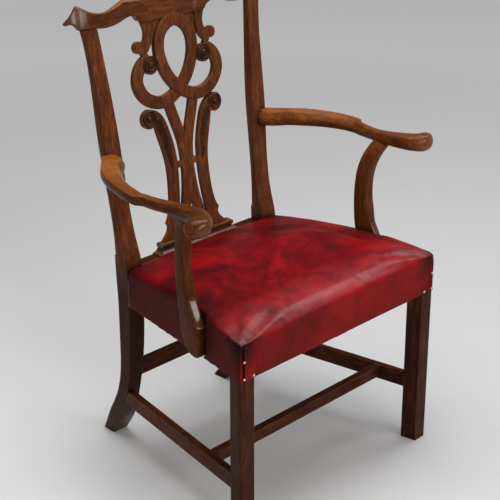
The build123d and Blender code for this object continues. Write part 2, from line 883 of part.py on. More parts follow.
# Arm support: a foot let into the side rail and a curved post up to the arm
# Share of the height from seat to arm, distance behind the foot's front, out, width, depth
post_low = seat_edge
post_high = arm_top - support_dowel_cover
support_sections = [
    (0.0, 51, 4.5, 47, 24),
    (0.18, 59, 5, 41, 25),
    (0.33, 63, 5.5, 36, 26),
    (0.49, 64, 6, 33, 27),
    (0.66, 59.5, 7, 33, 27),
    (0.79, 51, 10, 35, 27),
    (0.92, 38, 18, 37, 27),
    (1.0, 29, 24, 38, 27),
]


def rail_spot(along, out):
    """Plan point at a distance along the side line and out from it."""
    side_point = support_plane.from_local_coords((along, 0, out))
    return (side_point.X, side_point.Y)


scoop_start = (support_foot_front, support_scoop_low)
scoop_end = (support_foot_front + support_scoop_width, support_scoop_low + support_scoop_rise)
foot_top_back = (support_foot_back, support_scoop_low + support_scoop_rise)
foot_round_start = (support_foot_back, rail_bottom + support_foot_round)
foot_round_end = (support_foot_back - support_foot_round, rail_bottom)
foot_front_low = (support_foot_front + support_foot_taper, rail_bottom)
with BuildPart() as support_body:
    with BuildSketch(housing_plane):
        with BuildLine():
            Line(foot_front_low, scoop_start)
            SagittaArc(scoop_start, scoop_end, -support_scoop_sag)
            Line(scoop_end, foot_top_back)
            Line(foot_top_back, foot_round_start)
            RadiusArc(foot_round_start, foot_round_end, support_foot_round)
            Line(foot_round_end, foot_front_low)
        make_face()
    extrude(amount=support_foot_thickness)
with BuildPart() as support_post:
    for share, behind, out, width, depth in support_sections:
        with BuildSketch(Plane.XY.offset(post_low + share * (post_high - post_low))):
            with Locations(rail_spot(support_foot_front + behind, out)):
                RectangleRounded(depth, width, support_edge_radius, rotation=splay_angle)
    loft()

post_head = support_sections[-1]
dowel_point = rail_spot(support_foot_front + post_head[1], post_head[2])


def dowel(gap):
    """Dowel from the head of the support up into the arm, larger by the gap for its hole."""
    with BuildPart() as rod:
        with BuildSketch(Plane.XY.offset(post_high - support_dowel_length)):
            with Locations(dowel_point):
                Circle(support_dowel_radius + gap)
        extrude(amount=support_dowel_length + gap)
    return rod.part


# Pegs across the head of each support
post_neck = support_sections[-2]
peg_plane = support_plane.offset(post_neck[2] + post_neck[4] / 2 + peg_head - peg_length)
peg_points = [(support_foot_front + post_neck[1], arm_top - peg_drop)]


def peg(gap):
    """Round peg driven square to the side line, larger by the gap for its hole."""
    with BuildPart() as rod:
        with BuildSketch(peg_plane.offset(-gap)):
            with Locations(*peg_points):
                Circle(peg_radius + gap)
        extrude(amount=peg_length + gap)
    return rod.part


support_dowel = dowel(0)
dowel_hole = dowel(joint_gap)
arm_peg = peg(0)
peg_hole = peg(screw_gap)
with BuildPart() as arm_support_right:
    add(support_body.part)
    add(support_post.part)
    add(arm_body.part, mode=Mode.SUBTRACT)
    add(support_dowel)
    add(support_screw_holes, mode=Mode.SUBTRACT)
    add(peg_hole, mode=Mode.SUBTRACT)
with BuildPart() as arm_pegs:
    add(arm_peg)
    mirror(arm_peg, about=Plane.YZ)

# Arm screws run from the back of the stile into the end of the arm
arm_screw_plane = Plane(
    origin=(
        seat_back_width / 2 - arm_screw_inset,
        stile_middle_y + stile_depth - arm_screw_sink,
        arm_top - arm_screw_drop,
    ),
    x_dir=(1, 0, 0),
    z_dir=(0, -1, 0),
)
arm_screw_holes = screw(arm_screw_plane, [(0, 0)], arm_screw_length, screw_gap)
with BuildPart() as arm_right:
    add(arm_body.part)
    add(dowel_hole, mode=Mode.SUBTRACT)
    add(arm_screw_holes, mode=Mode.SUBTRACT)

# Finished rear leg: the stile on the lower leg, with its joints cut
with BuildPart() as rear_leg_right:
    add(leg_lower.part)
    add(stile_upper.part)
    add(crest_tenon.part)
    add(mortise_side, mode=Mode.SUBTRACT)
    add(rear_mortise, mode=Mode.SUBTRACT)
    add(stretcher_mortise, mode=Mode.SUBTRACT)
    add(rear_stretcher_mortise, mode=Mode.SUBTRACT)
    add(arm_screw_holes, mode=Mode.SUBTRACT)

# Corner blocks inside the seat frame
block_bottom = rail_top - corner_block_height - tenon_shoulder
with BuildPart() as corner_block_front_right:
    with BuildSketch(Plane.XY.offset(block_bottom)):
        Polygon(
            plan(rail_thickness, leg_size),
            plan(rail_thickness, leg_size + corner_block_length),
            plan(leg_size + corner_block_length, rail_thickness),
            plan(leg_size, rail_thickness),
            plan(leg_size, leg_size),
            align=None,
        )
    extrude(amount=corner_block_height)
with BuildPart() as corner_block_rear_right:
    with BuildSketch(Plane.XY.offset(block_bottom)):
        Polygon(
            plan(seat_depth, rail_thickness),
            plan(seat_depth - corner_block_length, rail_thickness),
            (rear_inner_x - corner_block_length, rear_rail_front),
            (rear_inner_x, rear_rail_front),
            (rear_inner_x, rear_y),
            align=None,
        )
    extrude(amount=corner_block_height)

# Webbing: lengthwise strips on the rails, crosswise strips over them
web_pitch = 2.2 * web_width
web_length = rear_rail_front - front_y - web_edge
with BuildPart() as webbing_lengthwise:
    with BuildSketch(Plane.XY.offset(rail_top)):
        with Locations((0, front_y + web_edge)):
            with GridLocations(web_pitch, 0, 3, 1):
                Rectangle(web_width, web_length, align=(Align.CENTER, Align.MIN))
    extrude(amount=web_thickness)
    with BuildSketch(Plane.XY.offset(rail_top)):
        with Locations((0, rear_rail_front)):
            with GridLocations(web_pitch, 0, 3, 1):
                Rectangle(web_width, web_thickness, align=(Align.CENTER, Align.MAX))
    extrude(amount=web_turn_up)

web_places = [seat_depth * share for share in (0.28, 0.5, 0.72)]
with BuildPart() as webbing_crosswise:
    with BuildSketch(Plane.XY.offset(rail_top + web_thickness)):
        for place in web_places:
            front_right = plan(place - web_width / 2, web_edge + support_housing)
            back_right = plan(place + web_width / 2, web_edge + support_housing)
            Polygon(
                front_right,
                back_right,
                (-back_right[0], back_right[1]),
                (-front_right[0], front_right[1]),
                align=None,
            )
    extrude(amount=web_thickness)

hessian_level = rail_top + 2 * web_thickness
hessian_rear = seat_depth - web_edge
with BuildPart() as hessian:
    with BuildSketch(Plane.XY.offset(hessian_level)):
        front_right = plan(web_edge, web_edge + support_housing)
        back_right = plan(hessian_rear, web_edge + support_housing)
        Polygon(
            front_right,
            back_right,
            (-back_right[0], back_right[1]),
            (-front_right[0], front_right[1]),
            align=None,
        )
    extrude(amount=hessian_thickness)

# Stuffing and leather cover share one crowned form, set in or out and cut round the posts
crown_middle_y = front_y + seat_depth / 2
crown_half_width = seat_front_width / 2 + leg_corner_radius
crown_radius = ((seat_depth / 2) ** 2 + seat_crown_lengthwise**2) / (2 * seat_crown_lengthwise)
cover_rear = seat_depth + rear_rail_setback - cover_gap
stuffing_rear = cover_rear - cover_thickness - cover_gap


def crown(lower):
    """Great barrel across the seat, whose top is the crowned surface, lowered by a distance."""
    top = seat_edge + seat_crown_lengthwise + seat_crown_crosswise - lower
    side = top - seat_crown_crosswise
    core = top - crown_radius
    with BuildPart() as barrel:
        with BuildSketch(Plane(origin=(0, crown_middle_y, 0), x_dir=(1, 0, 0), z_dir=(0, -1, 0))):
            with BuildLine():
                ThreePointArc((-crown_half_width, side), (0, top), (crown_half_width, side))
                Line((crown_half_width, side), (crown_half_width, core))
                Line((crown_half_width, core), (-crown_half_width, core))
                Line((-crown_half_width, core), (-crown_half_width, side))
            make_face()
        revolve(axis=Axis((0, crown_middle_y, core), (1, 0, 0)))
    return barrel.part


crown_outside = crown(0)
crown_inside = crown(cover_thickness)
crown_stuffing = crown(cover_thickness + cover_gap)


def seat_form(out, bottom, barrel, rear):
    """Seat block, out from the wood, under a crown barrel, with its rear edge given."""
    with BuildPart() as form:
        with BuildSketch(Plane.XY.offset(bottom)):
            front_right = plan(-out, -out)
            back_right = plan(rear, -out)
            Polygon(
                front_right,
                back_right,
                (-back_right[0], back_right[1]),
                (-front_right[0], front_right[1]),
                align=None,
            )
        extrude(amount=seat_edge + seat_crown_lengthwise + seat_crown_crosswise - bottom)
        add(barrel, mode=Mode.INTERSECT)
        top_edges = form.faces().sort_by(Axis.Z)[-1].edges()
        fillet(top_edges, radius=seat_edge_radius + out)
    return form.part


# Cuts in the cover and stuffing round the supports and stiles, and over the webbing's rear ends
cut_bottom = rail_bottom - post_margin
cut_top = seat_edge + seat_crown_lengthwise + seat_crown_crosswise + post_margin
cut_front = support_foot_front - cover_gap
cut_back = support_foot_back + cover_gap
with BuildPart() as post_cut:
    with BuildSketch(housing_plane.offset(-cover_gap)):
        with BuildLine():
            foot_outline(
                cover_gap,
                cut_bottom,
                [
                    (cut_front, support_scoop_low + 2 * post_margin),
                    (scoop_end[0] - post_margin, scoop_end[1] - 2 * post_margin),
                    (scoop_end[0] - post_margin, cut_top),
                    (cut_back + 2 * post_margin, cut_top),
                    (cut_back + 2 * post_margin, rail_top),
                    (cut_back, rail_top),
                ],
            )
        make_face()
    extrude(amount=4 * support_foot_thickness)
post_cut_left = mirror(post_cut.part, about=Plane.YZ)
stile_cut = block(
    (rear_inner_x - cover_gap, seat_back_width),
    (rear_y - cover_gap, rear_y + rear_leg_depth),
    (cut_bottom, crest_joint),
)
stile_cut_left = mirror(stile_cut, about=Plane.YZ)
rear_cut = block(
    (-seat_back_width, seat_back_width),
    (rear_y, rear_y + rear_leg_depth),
    (cut_bottom, rail_top + web_turn_up + cover_gap),
)

# Dome-headed nails at the two front corners
nail_face = front_y - cover_out
nail_middle = rail_bottom + 0.5 * (seat_edge - rail_bottom)
nail_low = rail_bottom + 2 * nail_head_radius
nail_corner_x = seat_front_width / 2 - leg_corner_radius - nail_head_radius
nail_inner_x = seat_front_width / 2 - leg_size + nail_head_radius
nail_points = [
    (side * x, level)
    for side in (-1, 1)
    for x, level in (
        (nail_corner_x, nail_middle), (nail_corner_x, nail_low), (nail_inner_x, nail_low)
    )
]
nail_plane = Plane(origin=(0, nail_face, 0), x_dir=(1, 0, 0), z_dir=(0, -1, 0))


def shanks(gap):
    """Nail shanks through the leather into the legs."""
    with BuildPart() as rods:
        with BuildSketch(nail_plane):
            with Locations(*nail_points):
                Circle(nail_shank_radius + gap)
        extrude(amount=-nail_length - gap)
    return rods.part


nail_shanks = shanks(0)
nail_holes = shanks(screw_gap)
dome_radius = (nail_head_radius**2 + nail_dome**2) / (2 * nail_dome)
with BuildPart() as nail_head:
    Sphere(dome_radius)
    split(bisect_by=Plane.XY.offset(dome_radius - nail_dome), keep=Keep.TOP)
nail_head_part = Pos(0, 0, nail_dome - dome_radius) * nail_head.part
with BuildPart() as cover_nails:
    add(nail_shanks)
    for nail_x, nail_z in nail_points:
        add(nail_plane.location * Pos(nail_x, nail_z, 0) * nail_head_part)

stuffing_level = hessian_level + hessian_thickness
stuffing_form = seat_form(-cover_gap, stuffing_level, crown_stuffing, stuffing_rear)
with BuildPart() as seat_stuffing:
    add(stuffing_form)
    add(post_cut.part, mode=Mode.SUBTRACT)
    add(post_cut_left, mode=Mode.SUBTRACT)
    add(stile_cut, mode=Mode.SUBTRACT)
    add(stile_cut_left, mode=Mode.SUBTRACT)

cover_outside = seat_form(cover_out, rail_bottom, crown_outside, cover_rear)
cover_inside = seat_form(cover_gap, cut_bottom, crown_inside, cover_rear - cover_thickness)
with BuildPart() as seat_cover:
    add(cover_outside)
    add(cover_inside, mode=Mode.SUBTRACT)
    add(post_cut.part, mode=Mode.SUBTRACT)
    add(post_cut_left, mode=Mode.SUBTRACT)
    add(stile_cut, mode=Mode.SUBTRACT)
    add(stile_cut_left, mode=Mode.SUBTRACT)
    add(rear_cut, mode=Mode.SUBTRACT)
    add(nail_holes, mode=Mode.SUBTRACT)

# Front leg with its nail holes
with BuildPart() as nailed_leg_right:
    add(front_leg_right.part)
    add(nail_holes, mode=Mode.SUBTRACT)

support_screw_set = screw(screw_plane, support_screw_points, support_screw_length, 0)
with BuildPart() as support_screws:
    add(support_screw_set)
    mirror(support_screw_set, about=Plane.YZ)

arm_screw_set = screw(arm_screw_plane, [(0, 0)], arm_screw_length, 0)
with BuildPart() as arm_screws:
    add(arm_screw_set)
    mirror(arm_screw_set, about=Plane.YZ)

# Left-hand pieces mirror the right-hand ones
pairs = {
    "rear_leg": rear_leg_right.part,
    "front_leg": nailed_leg_right.part,
    "side_seat_rail": side_seat_rail_right.part,
    "side_stretcher": side_stretcher_right.part,
    "arm": arm_right.part,
    "arm_support": arm_support_right.part,
    "corner_block_front": corner_block_front_right.part,
    "corner_block_rear": corner_block_rear_right.part,
}
for name, right_part in pairs.items():
    with BuildPart() as right_piece:
        add(right_part)
    right_piece.part.label = f"{name}_right"
    export_step(right_piece.part, f"parts/{name}_right.step")
    with BuildPart() as left_piece:
        mirror(right_part, about=Plane.YZ)
    left_piece.part.label = f"{name}_left"
    export_step(left_piece.part, f"parts/{name}_left.step")

singles = {
    "front_seat_rail": front_seat_rail,
    "rear_seat_rail": rear_seat_rail,
    "medial_stretcher": medial_stretcher,
    "rear_stretcher": rear_stretcher,
    "splat": splat,
    "splat_shoe": splat_shoe,
    "crest_rail": crest_rail,
    "support_screws": support_screws,
    "arm_screws": arm_screws,
    "arm_pegs": arm_pegs,
    "webbing_lengthwise": webbing_lengthwise,
    "webbing_crosswise": webbing_crosswise,
    "hessian": hessian,
    "seat_stuffing": seat_stuffing,
    "seat_cover": seat_cover,
    "cover_nails": cover_nails,
}
for name, piece in singles.items():
    piece.part.label = name
    export_step(piece.part, f"parts/{name}.step")
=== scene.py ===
import math

import bmesh
import bpy
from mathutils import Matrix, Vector, noise


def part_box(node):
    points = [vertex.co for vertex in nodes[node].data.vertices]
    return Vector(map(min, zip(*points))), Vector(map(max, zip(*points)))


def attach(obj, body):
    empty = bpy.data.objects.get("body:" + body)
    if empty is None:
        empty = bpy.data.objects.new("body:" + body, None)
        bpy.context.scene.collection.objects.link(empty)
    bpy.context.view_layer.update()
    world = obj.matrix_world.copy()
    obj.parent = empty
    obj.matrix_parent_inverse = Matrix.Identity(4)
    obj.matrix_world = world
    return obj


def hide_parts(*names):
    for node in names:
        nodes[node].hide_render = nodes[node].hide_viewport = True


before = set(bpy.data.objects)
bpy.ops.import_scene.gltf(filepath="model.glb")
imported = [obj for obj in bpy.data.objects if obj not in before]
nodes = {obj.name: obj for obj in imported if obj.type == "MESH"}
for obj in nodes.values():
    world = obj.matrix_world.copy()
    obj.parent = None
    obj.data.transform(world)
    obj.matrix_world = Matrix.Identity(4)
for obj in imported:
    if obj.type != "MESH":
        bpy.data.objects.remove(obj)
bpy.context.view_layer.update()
scene = bpy.context.scene
scene.view_settings.view_transform = "Standard"

# Sizes taken over from the chair's frame, in millimetres
MM = 0.001
SEAT_FRONT_HALF = 295.0
SEAT_DEPTH = 407.0
SEAT_FRONT_Y = -274.45
SIDE_SPLAY = 0.172
RAIL_BOTTOM = 365.0
RAIL_TOP = 425.0
SEAT_EDGE = 450.0
LEATHER_OUT = 2.3
SPLAT_FRONT_Y = 164.55
SPLAT_BASE = 462.0
SPLAT_LEAN = 0.12165
SIDES = ((-1, "left"), (1, "right"))


# Small helpers for shader nodes
def put(tree, socket, value):
    if isinstance(value, bpy.types.NodeSocket):
        tree.links.new(value, socket)
    elif hasattr(socket.default_value, "__len__") and len(socket.default_value) == 4 and len(value) == 3:
        socket.default_value = (*value, 1.0)
    else:
        socket.default_value = value


def wire(tree, sockets, **values):
    """Links or sets sockets by name, with an underscore for each space in the name."""
    for key, value in values.items():
        put(tree, sockets[key.replace("_", " ")], value)


def add(tree, kind, props=None, **sockets):
    made = tree.nodes.new("ShaderNode" + kind)
    for key, value in (props or {}).items():
        setattr(made, key, value)
    wire(tree, made.inputs, **sockets)
    return made


def place(tree, group, **sockets):
    return add(tree, "Group", {"node_tree": group}, **sockets).outputs


def reckon(tree, operation, *values):
    made = add(tree, "Math", {"operation": operation})
    for socket, value in zip(made.inputs, values):
        put(tree, socket, value)
    return made.outputs[0]


def times(tree, first, *others):
    for other in others:
        first = reckon(tree, "MULTIPLY", first, other)
    return first


def most(tree, first, *others):
    for other in others:
        first = reckon(tree, "MAXIMUM", first, other)
    return first


def gap_from(tree, value, middle):
    return reckon(tree, "ABSOLUTE", reckon(tree, "SUBTRACT", value, middle))


def of_vectors(tree, operation, *vectors):
    made = add(tree, "VectorMath", {"operation": operation})
    for socket, vector in zip(made.inputs, vectors):
        put(tree, socket, vector)
    return made.outputs["Value"]


def split(tree, vector):
    return add(tree, "SeparateXYZ", Vector=vector).outputs


def split_normal(tree):
    return split(tree, add(tree, "NewGeometry").outputs["Normal"])


def blend(tree, mask, under, over):
    made = add(tree, "Mix", {"data_type": "RGBA"})
    for index, value in ((0, mask), (6, under), (7, over)):
        put(tree, made.inputs[index], value)
    return made.outputs[2]


def tinted(tree, colour, tone, *masks):
    """The colour with a tone laid over it, as far as all the masks let it through."""
    return blend(tree, times(tree, *masks), colour, tone)


def remap(tree, value, low, high, to_low=0.0, to_high=1.0):
    made = add(tree, "MapRange", {"clamp": True}, Value=value, From_Min=low, From_Max=high, To_Min=to_low,
               To_Max=to_high)
    return made.outputs["Result"]


def cloud(tree, vector, scale, detail=3.0, rough=0.5, twist=0.0):
    made = add(tree, "TexNoise", Vector=vector, Scale=scale, Detail=detail, Roughness=rough, Distortion=twist)
    return made.outputs["Fac"]


def bumped(tree, height, strength, distance, **more):
    return add(tree, "Bump", Height=height, Strength=strength, Distance=distance, **more).outputs["Normal"]


VECTOR_SOCKETS = ("Vector", "Spot", "Rounded")


def new_group(name, inputs, outputs):
    """Shader group whose inputs are given with the values that they start from."""
    group = bpy.data.node_groups.new(name, "ShaderNodeTree")
    for way, labels in (("INPUT", inputs), ("OUTPUT", outputs)):
        for label in labels:
            kind = "Vector" if label in VECTOR_SOCKETS else "Float"
            socket = group.interface.new_socket(label, in_out=way, socket_type="NodeSocket" + kind)
            if way == "INPUT" and inputs[label] is not None:
                socket.default_value = inputs[label]
    return group, group.nodes.new("NodeGroupInput").outputs, group.nodes.new("NodeGroupOutput").inputs


# Effects that several finishes share
def make_timber_grain():
    group, given, out = new_group("timber_grain", {"Vector": None, "Figure Scale": 10.0, "Pore Scale": 55.0},
                                  ("Figure", "Pores", "Height"))
    run, figure_scale = given["Vector"], given["Figure Scale"]
    figure = cloud(group, run, figure_scale, 5.0, 0.6, 0.9)
    streak = cloud(group, run, times(group, figure_scale, 3.1), 3.0, 0.6, 0.3)
    pores = remap(group, cloud(group, run, given["Pore Scale"], 2.0, 0.5), 0.56, 0.72)
    mixed = reckon(group, "MULTIPLY_ADD", streak, 0.45, times(group, figure, 0.6))
    wire(group, out, Figure=remap(group, mixed, 0.3, 0.75), Pores=pores,
         Height=reckon(group, "MULTIPLY_ADD", pores, -0.7, mixed))
    return group


def make_edge_wear_and_recess_shade():
    group, given, out = new_group("edge_wear_and_recess_shade", {"Reach": 0.0016, "Recess Reach": 0.016, "Breakup": 45.0},
                                  ("Edge", "Recess", "Rounded"))
    rounded = add(group, "Bevel", {"samples": 4}, Radius=given["Reach"]).outputs["Normal"]
    shape = add(group, "NewGeometry").outputs
    edge = remap(group, of_vectors(group, "DOT_PRODUCT", rounded, shape["Normal"]), 0.985, 0.8)
    # Recess: hollows darkened by ambient occlusion, partly grime and partly painted shade
    open_air = add(group, "AmbientOcclusion", {"samples": 6}, Distance=given["Recess Reach"]).outputs["AO"]
    spots = remap(group, cloud(group, shape["Position"], given["Breakup"], 4.0, 0.6), 0.35, 0.62)
    wire(group, out, Edge=times(group, edge, spots, remap(group, open_air, 0.7, 0.95)),
         Recess=remap(group, open_air, 0.85, 0.25), Rounded=rounded)
    return group


def make_hand_polish():
    group, given, out = new_group("hand_polish", {"Vector": None, "Scale": 14.0, "Dull": 0.5, "Bright": 0.25},
                                  ("Roughness", "Coat", "Mottle"))
    patch = cloud(group, given["Vector"], given["Scale"], 5.0, 0.62, 0.4)
    rubbed = remap(group, patch, 0.3, 0.7)
    spread = reckon(group, "SUBTRACT", given["Bright"], given["Dull"])
    wire(group, out, Roughness=reckon(group, "MULTIPLY_ADD", rubbed, spread, given["Dull"]),
         Coat=remap(group, patch, 0.3, 0.7, 0.0, 0.14), Mottle=rubbed)
    return group


def make_woven_threads():
    group, given, out = new_group("woven_threads", {"Vector": None, "Threads": 300.0}, ("Height",))
    bands = [add(group, "TexWave", {"bands_direction": axis}, Vector=given["Vector"], Scale=given["Threads"],
                 Distortion=1.2, Detail=2.0).outputs["Fac"] for axis in ("X", "Y")]
    wire(group, out, Height=most(group, *bands))
    return group


def make_metal_tarnish():
    group, given, out = new_group("metal_tarnish", {"Scale": 300.0}, ("Tarnish", "Roughness"))
    spot = add(group, "NewGeometry").outputs["Position"]
    dark = remap(group, cloud(group, spot, given["Scale"], 4.0, 0.65), 0.42, 0.66)
    wire(group, out, Tarnish=dark, Roughness=remap(group, dark, 0.0, 1.0, 0.24, 0.6))
    return group


def make_near_spot():
    group, given, out = new_group("near_spot", {"Vector": None, "Spot": None, "Close": 0.01, "Far": 0.03}, ("Mask",))
    gap = of_vectors(group, "DISTANCE", given["Vector"], given["Spot"])
    wire(group, out, Mask=remap(group, gap, given["Far"], given["Close"]))
    return group


timber_grain = make_timber_grain()
edge_wear_and_recess_shade = make_edge_wear_and_recess_shade()
hand_polish = make_hand_polish()
woven_threads = make_woven_threads()
metal_tarnish = make_metal_tarnish()
near_spot = make_near_spot()


# Finishes
def new_finish(name):
    finish = bpy.data.materials.new(name)
    finish.use_nodes = True
    tree = finish.node_tree
    return finish, tree, tree.nodes["Principled BSDF"], add(tree, "TexCoord").outputs["Object"]


def near_points(tree, spot, points, close, far):
    """Mask that is 1 at the given points and fades out with distance."""
    return most(tree, *[
        place(tree, near_spot, Vector=spot, Spot=[MM * c for c in point], Close=close * MM, Far=far * MM)["Mask"]
        for point in points
    ])


def both_sides(*points):
    return [(side * x, y, z) for side, _ in SIDES for x, y, z in points]


GRAIN_ALONG = {"x": (1.0, 9.0, 9.0), "y": (9.0, 1.0, 9.0), "z": (9.0, 9.0, 1.0)}
# The rubbed tones mark worn edges, and on upward faces they also stand for painted top light
WOOD_DEEP = (0.034, 0.0088, 0.0034)
WOOD_MIDDLE = (0.128, 0.0360, 0.0108)
WOOD_LIGHT = (0.262, 0.0800, 0.0205)
WOOD_RUBBED = (0.400, 0.1380, 0.0330)
WOOD = (WOOD_DEEP, WOOD_MIDDLE, WOOD_LIGHT, WOOD_RUBBED)
DARK_DEEP = (0.016, 0.0050, 0.0027)
DARK_MIDDLE = (0.066, 0.0185, 0.0075)
DARK_LIGHT = (0.150, 0.0430, 0.0150)
DARK_RUBBED = (0.330, 0.1300, 0.0520)
RECESS_GRIME_AND_SHADE = (0.012, 0.006, 0.004)


def timber(name, along, tones, rub_and_top_light_share, figure=10.0, dull=0.36, bright=0.2, recess_grime_and_shade=0.9, shine=0.07,
           worn_from=None, edge_share=0.55, edge_reach=0.0016, glossy_spots=(), spot_gloss=0.5, spot_tilt=None,
           dark_below=None):
    """Old polished wood in deep, middle, light and rubbed tones, with its grain along one axis, painted light on its
    upward faces and painted shade in its hollows.
    """
    deep, middle, light, rubbed = tones
    finish, tree, shader, spot = new_finish(name)
    run = add(tree, "Mapping", Vector=spot, Scale=GRAIN_ALONG[along]).outputs["Vector"]
    grain = place(tree, timber_grain, Vector=run, Figure_Scale=figure, Pore_Scale=52.0)
    edges = place(tree, edge_wear_and_recess_shade, Reach=edge_reach)
    polish = place(tree, hand_polish, Vector=spot, Dull=dull, Bright=bright)
    ramp = add(tree, "ValToRGB", Fac=grain["Figure"])
    stops = ramp.color_ramp.elements
    stops[0].color = (*deep, 1.0)
    stops[1].color = (*light, 1.0)
    stops.new(0.5).color = (*middle, 1.0)
    patches = remap(tree, cloud(tree, spot, 5.5, 4.0, 0.6, 0.5), 0.4, 0.68)
    colour = tinted(tree, ramp.outputs["Color"], deep, patches, 0.55)
    colour = tinted(tree, colour, [0.35 * tone for tone in deep], grain["Pores"], 0.5)
    # Upward faces take the rubbed tone: partly wear, partly painted light on the tops
    upward = split_normal(tree)["Z"]
    rubbed_and_top_lit = times(tree, remap(tree, upward, 0.35, 0.9), remap(tree, polish["Mottle"], 0.1, 0.8, 0.5, 1.0))
    # Painted shade: darker below the given level, under the seat
    if dark_below:
        lower = remap(tree, split(tree, spot)["Z"], dark_below + 0.1, dark_below - 0.03, 0.0, 0.72)
        colour = blend(tree, lower, colour, DARK_DEEP)
    if worn_from:
        rubbed_and_top_lit = times(tree, rubbed_and_top_lit, remap(tree, split(tree, spot)["Y"], *worn_from))
    colour = tinted(tree, colour, rubbed, rubbed_and_top_lit, rub_and_top_light_share)
    colour = tinted(tree, colour, rubbed, edges["Edge"], edge_share)
    # Darkens the hollows: partly grime, partly painted shade in the recesses
    colour = tinted(tree, colour, RECESS_GRIME_AND_SHADE, edges["Recess"], recess_grime_and_shade)
    lacquer = polish["Coat"]
    if glossy_spots:
        rubbed_bright = times(tree, near_points(tree, spot, glossy_spots, 12, 32), spot_gloss)
        if spot_tilt:
            rubbed_bright = times(tree, rubbed_bright, remap(tree, upward, *spot_tilt))
        lacquer = most(tree, lacquer, rubbed_bright)
    wire(tree, shader.inputs, Base_Color=colour, Roughness=polish["Roughness"], Coat_Weight=lacquer,
         Coat_Roughness=0.16, Specular_IOR_Level=shine,
         Normal=bumped(tree, grain["Height"], 0.14, 0.0006, Normal=edges["Rounded"]))
    return finish


def dark_timber(name, along, middle=DARK_MIDDLE, light=DARK_LIGHT):
    return timber(name, along, (DARK_DEEP, middle, light, DARK_RUBBED), 0.0, shine=0.03, edge_share=0.85,
                  edge_reach=0.0028)


EAR_SPOTS = both_sides((258, 226, 976))
SCOOP_SPOTS = both_sides((274, -142, 446), (274, -131, 462))
SCROLL_SPOTS = both_sides((326, -206, 672))

leg_mahogany = dark_timber("leg_mahogany", "z")
cross_mahogany = dark_timber("cross_mahogany", "x")
side_mahogany = dark_timber("side_mahogany", "y", (0.090, 0.0250, 0.0095), (0.200, 0.0580, 0.0190))
stile_mahogany = timber("stile_mahogany", "z", WOOD, 0.3, shine=0.04, dark_below=0.42)
splat_mahogany = timber("splat_mahogany", "z", WOOD, 0.4, figure=12.0)
crest_mahogany = timber("crest_mahogany", "x", WOOD, 0.5, figure=8.0, glossy_spots=EAR_SPOTS, spot_gloss=1.0)
shoe_mahogany = timber("shoe_mahogany", "x", (DARK_DEEP, DARK_MIDDLE, WOOD_MIDDLE, DARK_RUBBED), 0.3, dull=0.3,
                       bright=0.16, shine=0.4)
arm_mahogany = timber(
    "arm_mahogany", "y",
    ((0.03, 0.008, 0.003), (0.140, 0.040, 0.0105), (0.30, 0.095, 0.021), (0.40, 0.128, 0.0260)), 0.5,
    figure=9.0, dull=0.3, bright=0.17, recess_grime_and_shade=0.7, shine=0.05, worn_from=(-0.12, 0.08), glossy_spots=SCROLL_SPOTS)
support_mahogany = timber(
    "support_mahogany", "z", (WOOD_DEEP, (0.135, 0.038, 0.0115), (0.25, 0.078, 0.02), WOOD_RUBBED), 0.2,
    dull=0.28, bright=0.16, recess_grime_and_shade=0.7, shine=0.01, glossy_spots=SCOOP_SPOTS, spot_gloss=1.0, spot_tilt=(0.12, 0.4))
carved_mahogany = timber(
    "carved_mahogany", "z",
    ((0.016, 0.0055, 0.003), (0.05, 0.0165, 0.0068), (0.12, 0.04, 0.0145), WOOD_RUBBED), 0.3,
    dull=0.32, bright=0.18, recess_grime_and_shade=1.0)
seat_beech = timber(
    "seat_beech", "x", ((0.13, 0.075, 0.035), (0.22, 0.135, 0.068), (0.31, 0.2, 0.11), (0.36, 0.25, 0.15)), 0.2,
    dull=0.7, bright=0.55)
peg_wood = timber(
    "peg_wood", "x", ((0.12, 0.07, 0.035), (0.21, 0.13, 0.068), (0.3, 0.2, 0.11), (0.38, 0.27, 0.16)), 0.3,
    figure=40.0)


def metal(name, bright, dark, scale):
    finish, tree, shader, _ = new_finish(name)
    tarnish = place(tree, metal_tarnish, Scale=scale)
    wire(tree, shader.inputs, Base_Color=blend(tree, tarnish["Tarnish"], bright, dark),
         Roughness=tarnish["Roughness"], Metallic=1.0, Normal=bumped(tree, tarnish["Tarnish"], 0.2, 0.0002))
    return finish


screw_steel = metal("screw_steel", (0.42, 0.41, 0.39), (0.13, 0.1, 0.08), 420.0)
nail_brass = metal("nail_brass", (0.82, 0.77, 0.68), (0.26, 0.20, 0.14), 520.0)


def woven(name, thread, shade, count):
    finish, tree, shader, spot = new_finish(name)
    weave = place(tree, woven_threads, Vector=spot, Threads=count)["Height"]
    uneven = remap(tree, cloud(tree, spot, 18.0, 5.0, 0.6), 0.3, 0.7)
    colour = tinted(tree, blend(tree, weave, shade, thread), [0.55 * tone for tone in thread], uneven, 0.45)
    wire(tree, shader.inputs, Base_Color=colour, Roughness=0.9, Normal=bumped(tree, weave, 0.7, 0.0008))
    return finish


hessian_weave = woven("hessian_weave", (0.36, 0.25, 0.13), (0.11, 0.07, 0.035), 260.0)
webbing_weave = woven("webbing_weave", (0.42, 0.33, 0.2), (0.16, 0.11, 0.06), 170.0)


